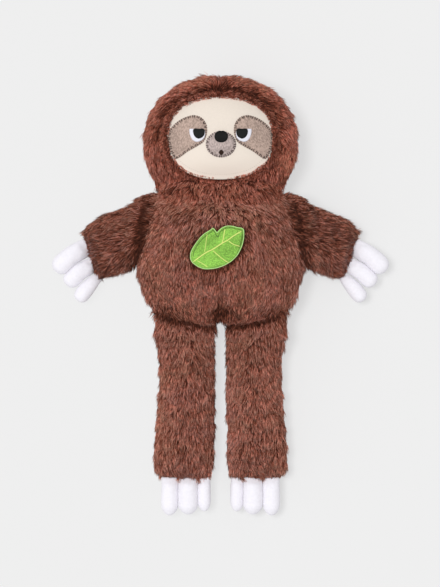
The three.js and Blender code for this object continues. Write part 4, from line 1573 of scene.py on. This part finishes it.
class SLOTH_OT_stage(bpy.types.Operator):
    """Floor, lights and the camera that looks straight down"""

    bl_idname = "sloth.stage"
    bl_label = "Stage"

    def execute(self, context):
        settings = context.scene.sloth_stage
        context.scene.view_settings.view_transform = "Standard"
        self.camera(context.scene, settings)
        self.floor(settings)
        self.lights(context.scene, settings)
        return {"FINISHED"}

    @staticmethod
    def camera(scene, settings):
        data = bpy.data.cameras.new("photo_camera")
        seen = PHOTO_SIZE[1] * settings.pixel
        data.lens = data.sensor_width * settings.camera_height / seen
        seam_height = JOINTS["neck_nod"]["pos_m"][2]
        scene.camera = linked("photo_camera", data)
        scene.camera.location = (
            (PHOTO_SIZE[0] / 2 - PHOTO_MIDDLE[0]) * settings.pixel,
            (PHOTO_MIDDLE[1] - PHOTO_SIZE[1] / 2) * settings.pixel,
            seam_height + settings.camera_height)

    @staticmethod
    def seen_directly(tree):
        """1 for camera, glossy and transmission rays, otherwise 0."""
        camera, glossy, through = (tree.node("ShaderNodeLightPath", output=k) for k in (0, 3, 6))
        return tree.grey(camera + glossy + through, 0.0, 1.0)

    def floor(self, settings):
        corners = np.array([(-1, -1, 0), (1, -1, 0), (1, 1, 0), (-1, 1, 0)]) * FLOOR_HALF
        finish = bpy.data.materials.new("floor_paper")
        tree = ShaderTree(finish)
        pale = tuple(settings.floor_colour)
        grain = tree.mix(tree.noise(40.0, 2.0), *(darker(pale, share) for share in PAPER_SHARES))
        paper = tree.node("ShaderNodeBsdfDiffuse", None, {"Color": grain, "Roughness": 0.0})
        glow = tree.node("ShaderNodeEmission", None, {"Color": pale, "Strength": 1.0})
        across = tree.node("ShaderNodeSeparateXYZ", None, {"Vector": tree.position()}, output=0)
        even = tree.grey(across, LIT_SIDE_EVENNESS, settings.floor_evenness, *SHADOW_SIDE)
        share = self.seen_directly(tree) * even
        surface = tree.node("ShaderNodeMixShader", None, {0: share, 1: paper, 2: glow})
        tree.node("ShaderNodeOutputMaterial", None, {"Surface": surface})
        mesh_from("stage_floor", corners, [(0, 1, 2), (0, 2, 3)], finish)

    def lights(self, scene, settings):
        data = bpy.data.lights.new("key_light", "SUN")
        data.energy = settings.key_light
        data.angle = settings.key_spread
        linked("key_light", data).rotation_euler = Vector(KEY_DIRECTION).to_track_quat("-Z", "Y").to_euler()
        world = bpy.data.worlds.new("studio")
        scene.world = world
        tree = ShaderTree(world)
        colour = tuple(settings.floor_colour)
        fill = tree.node("ShaderNodeBackground", None, {"Color": (1, 1, 1), "Strength": settings.fill_light})
        backdrop = tree.node("ShaderNodeBackground", None, {"Color": colour, "Strength": 1.0})
        both = tree.node("ShaderNodeMixShader", None, {0: self.seen_directly(tree), 1: fill, 2: backdrop})
        tree.node("ShaderNodeOutputWorld", None, {"Surface": both})


SETTINGS = {
    "sloth_coat": CoatSettings,
    "sloth_face": FaceSettings,
    "sloth_claws": ClawSettings,
    "sloth_leaf": LeafSettings,
    "sloth_stage": StageSettings,
}
OPERATORS = [
    SLOTH_OT_stage, SLOTH_OT_torso_coat, SLOTH_OT_head_coat, SLOTH_OT_limb_coats, SLOTH_OT_seam_sleeves,
    SLOTH_OT_face, SLOTH_OT_leaf, SLOTH_OT_claws, SLOTH_OT_inside,
]


class SLOTH_PT_sidebar(bpy.types.Panel):
    """Sidebar panel with the settings and one button for each group of pieces"""

    bl_idname = "SLOTH_PT_sidebar"
    bl_label = "Plush Sloth"
    bl_space_type = "VIEW_3D"
    bl_region_type = "UI"
    bl_category = "Plush"

    def draw(self, context):
        for name, group in SETTINGS.items():
            box = self.layout.box()
            for prop in group.__annotations__:
                box.prop(getattr(context.scene, name), prop)
        for operator in OPERATORS:
            self.layout.operator(operator.bl_idname)


def register():
    for group in SETTINGS.values():
        bpy.utils.register_class(group)
    for operator in OPERATORS:
        bpy.utils.register_class(operator)
    bpy.utils.register_class(SLOTH_PT_sidebar)
    for name, group in SETTINGS.items():
        setattr(bpy.types.Scene, name, bpy.props.PointerProperty(type=group))


def unregister():
    for name in SETTINGS:
        delattr(bpy.types.Scene, name)
    for known in [SLOTH_PT_sidebar, *reversed(OPERATORS), *reversed(SETTINGS.values())]:
        bpy.utils.unregister_class(known)


def main():
    register()
    for operator in OPERATORS:
        group, name = operator.bl_idname.split(".")
        getattr(getattr(bpy.ops, group), name)()


if __name__ == "__main__":
    main()
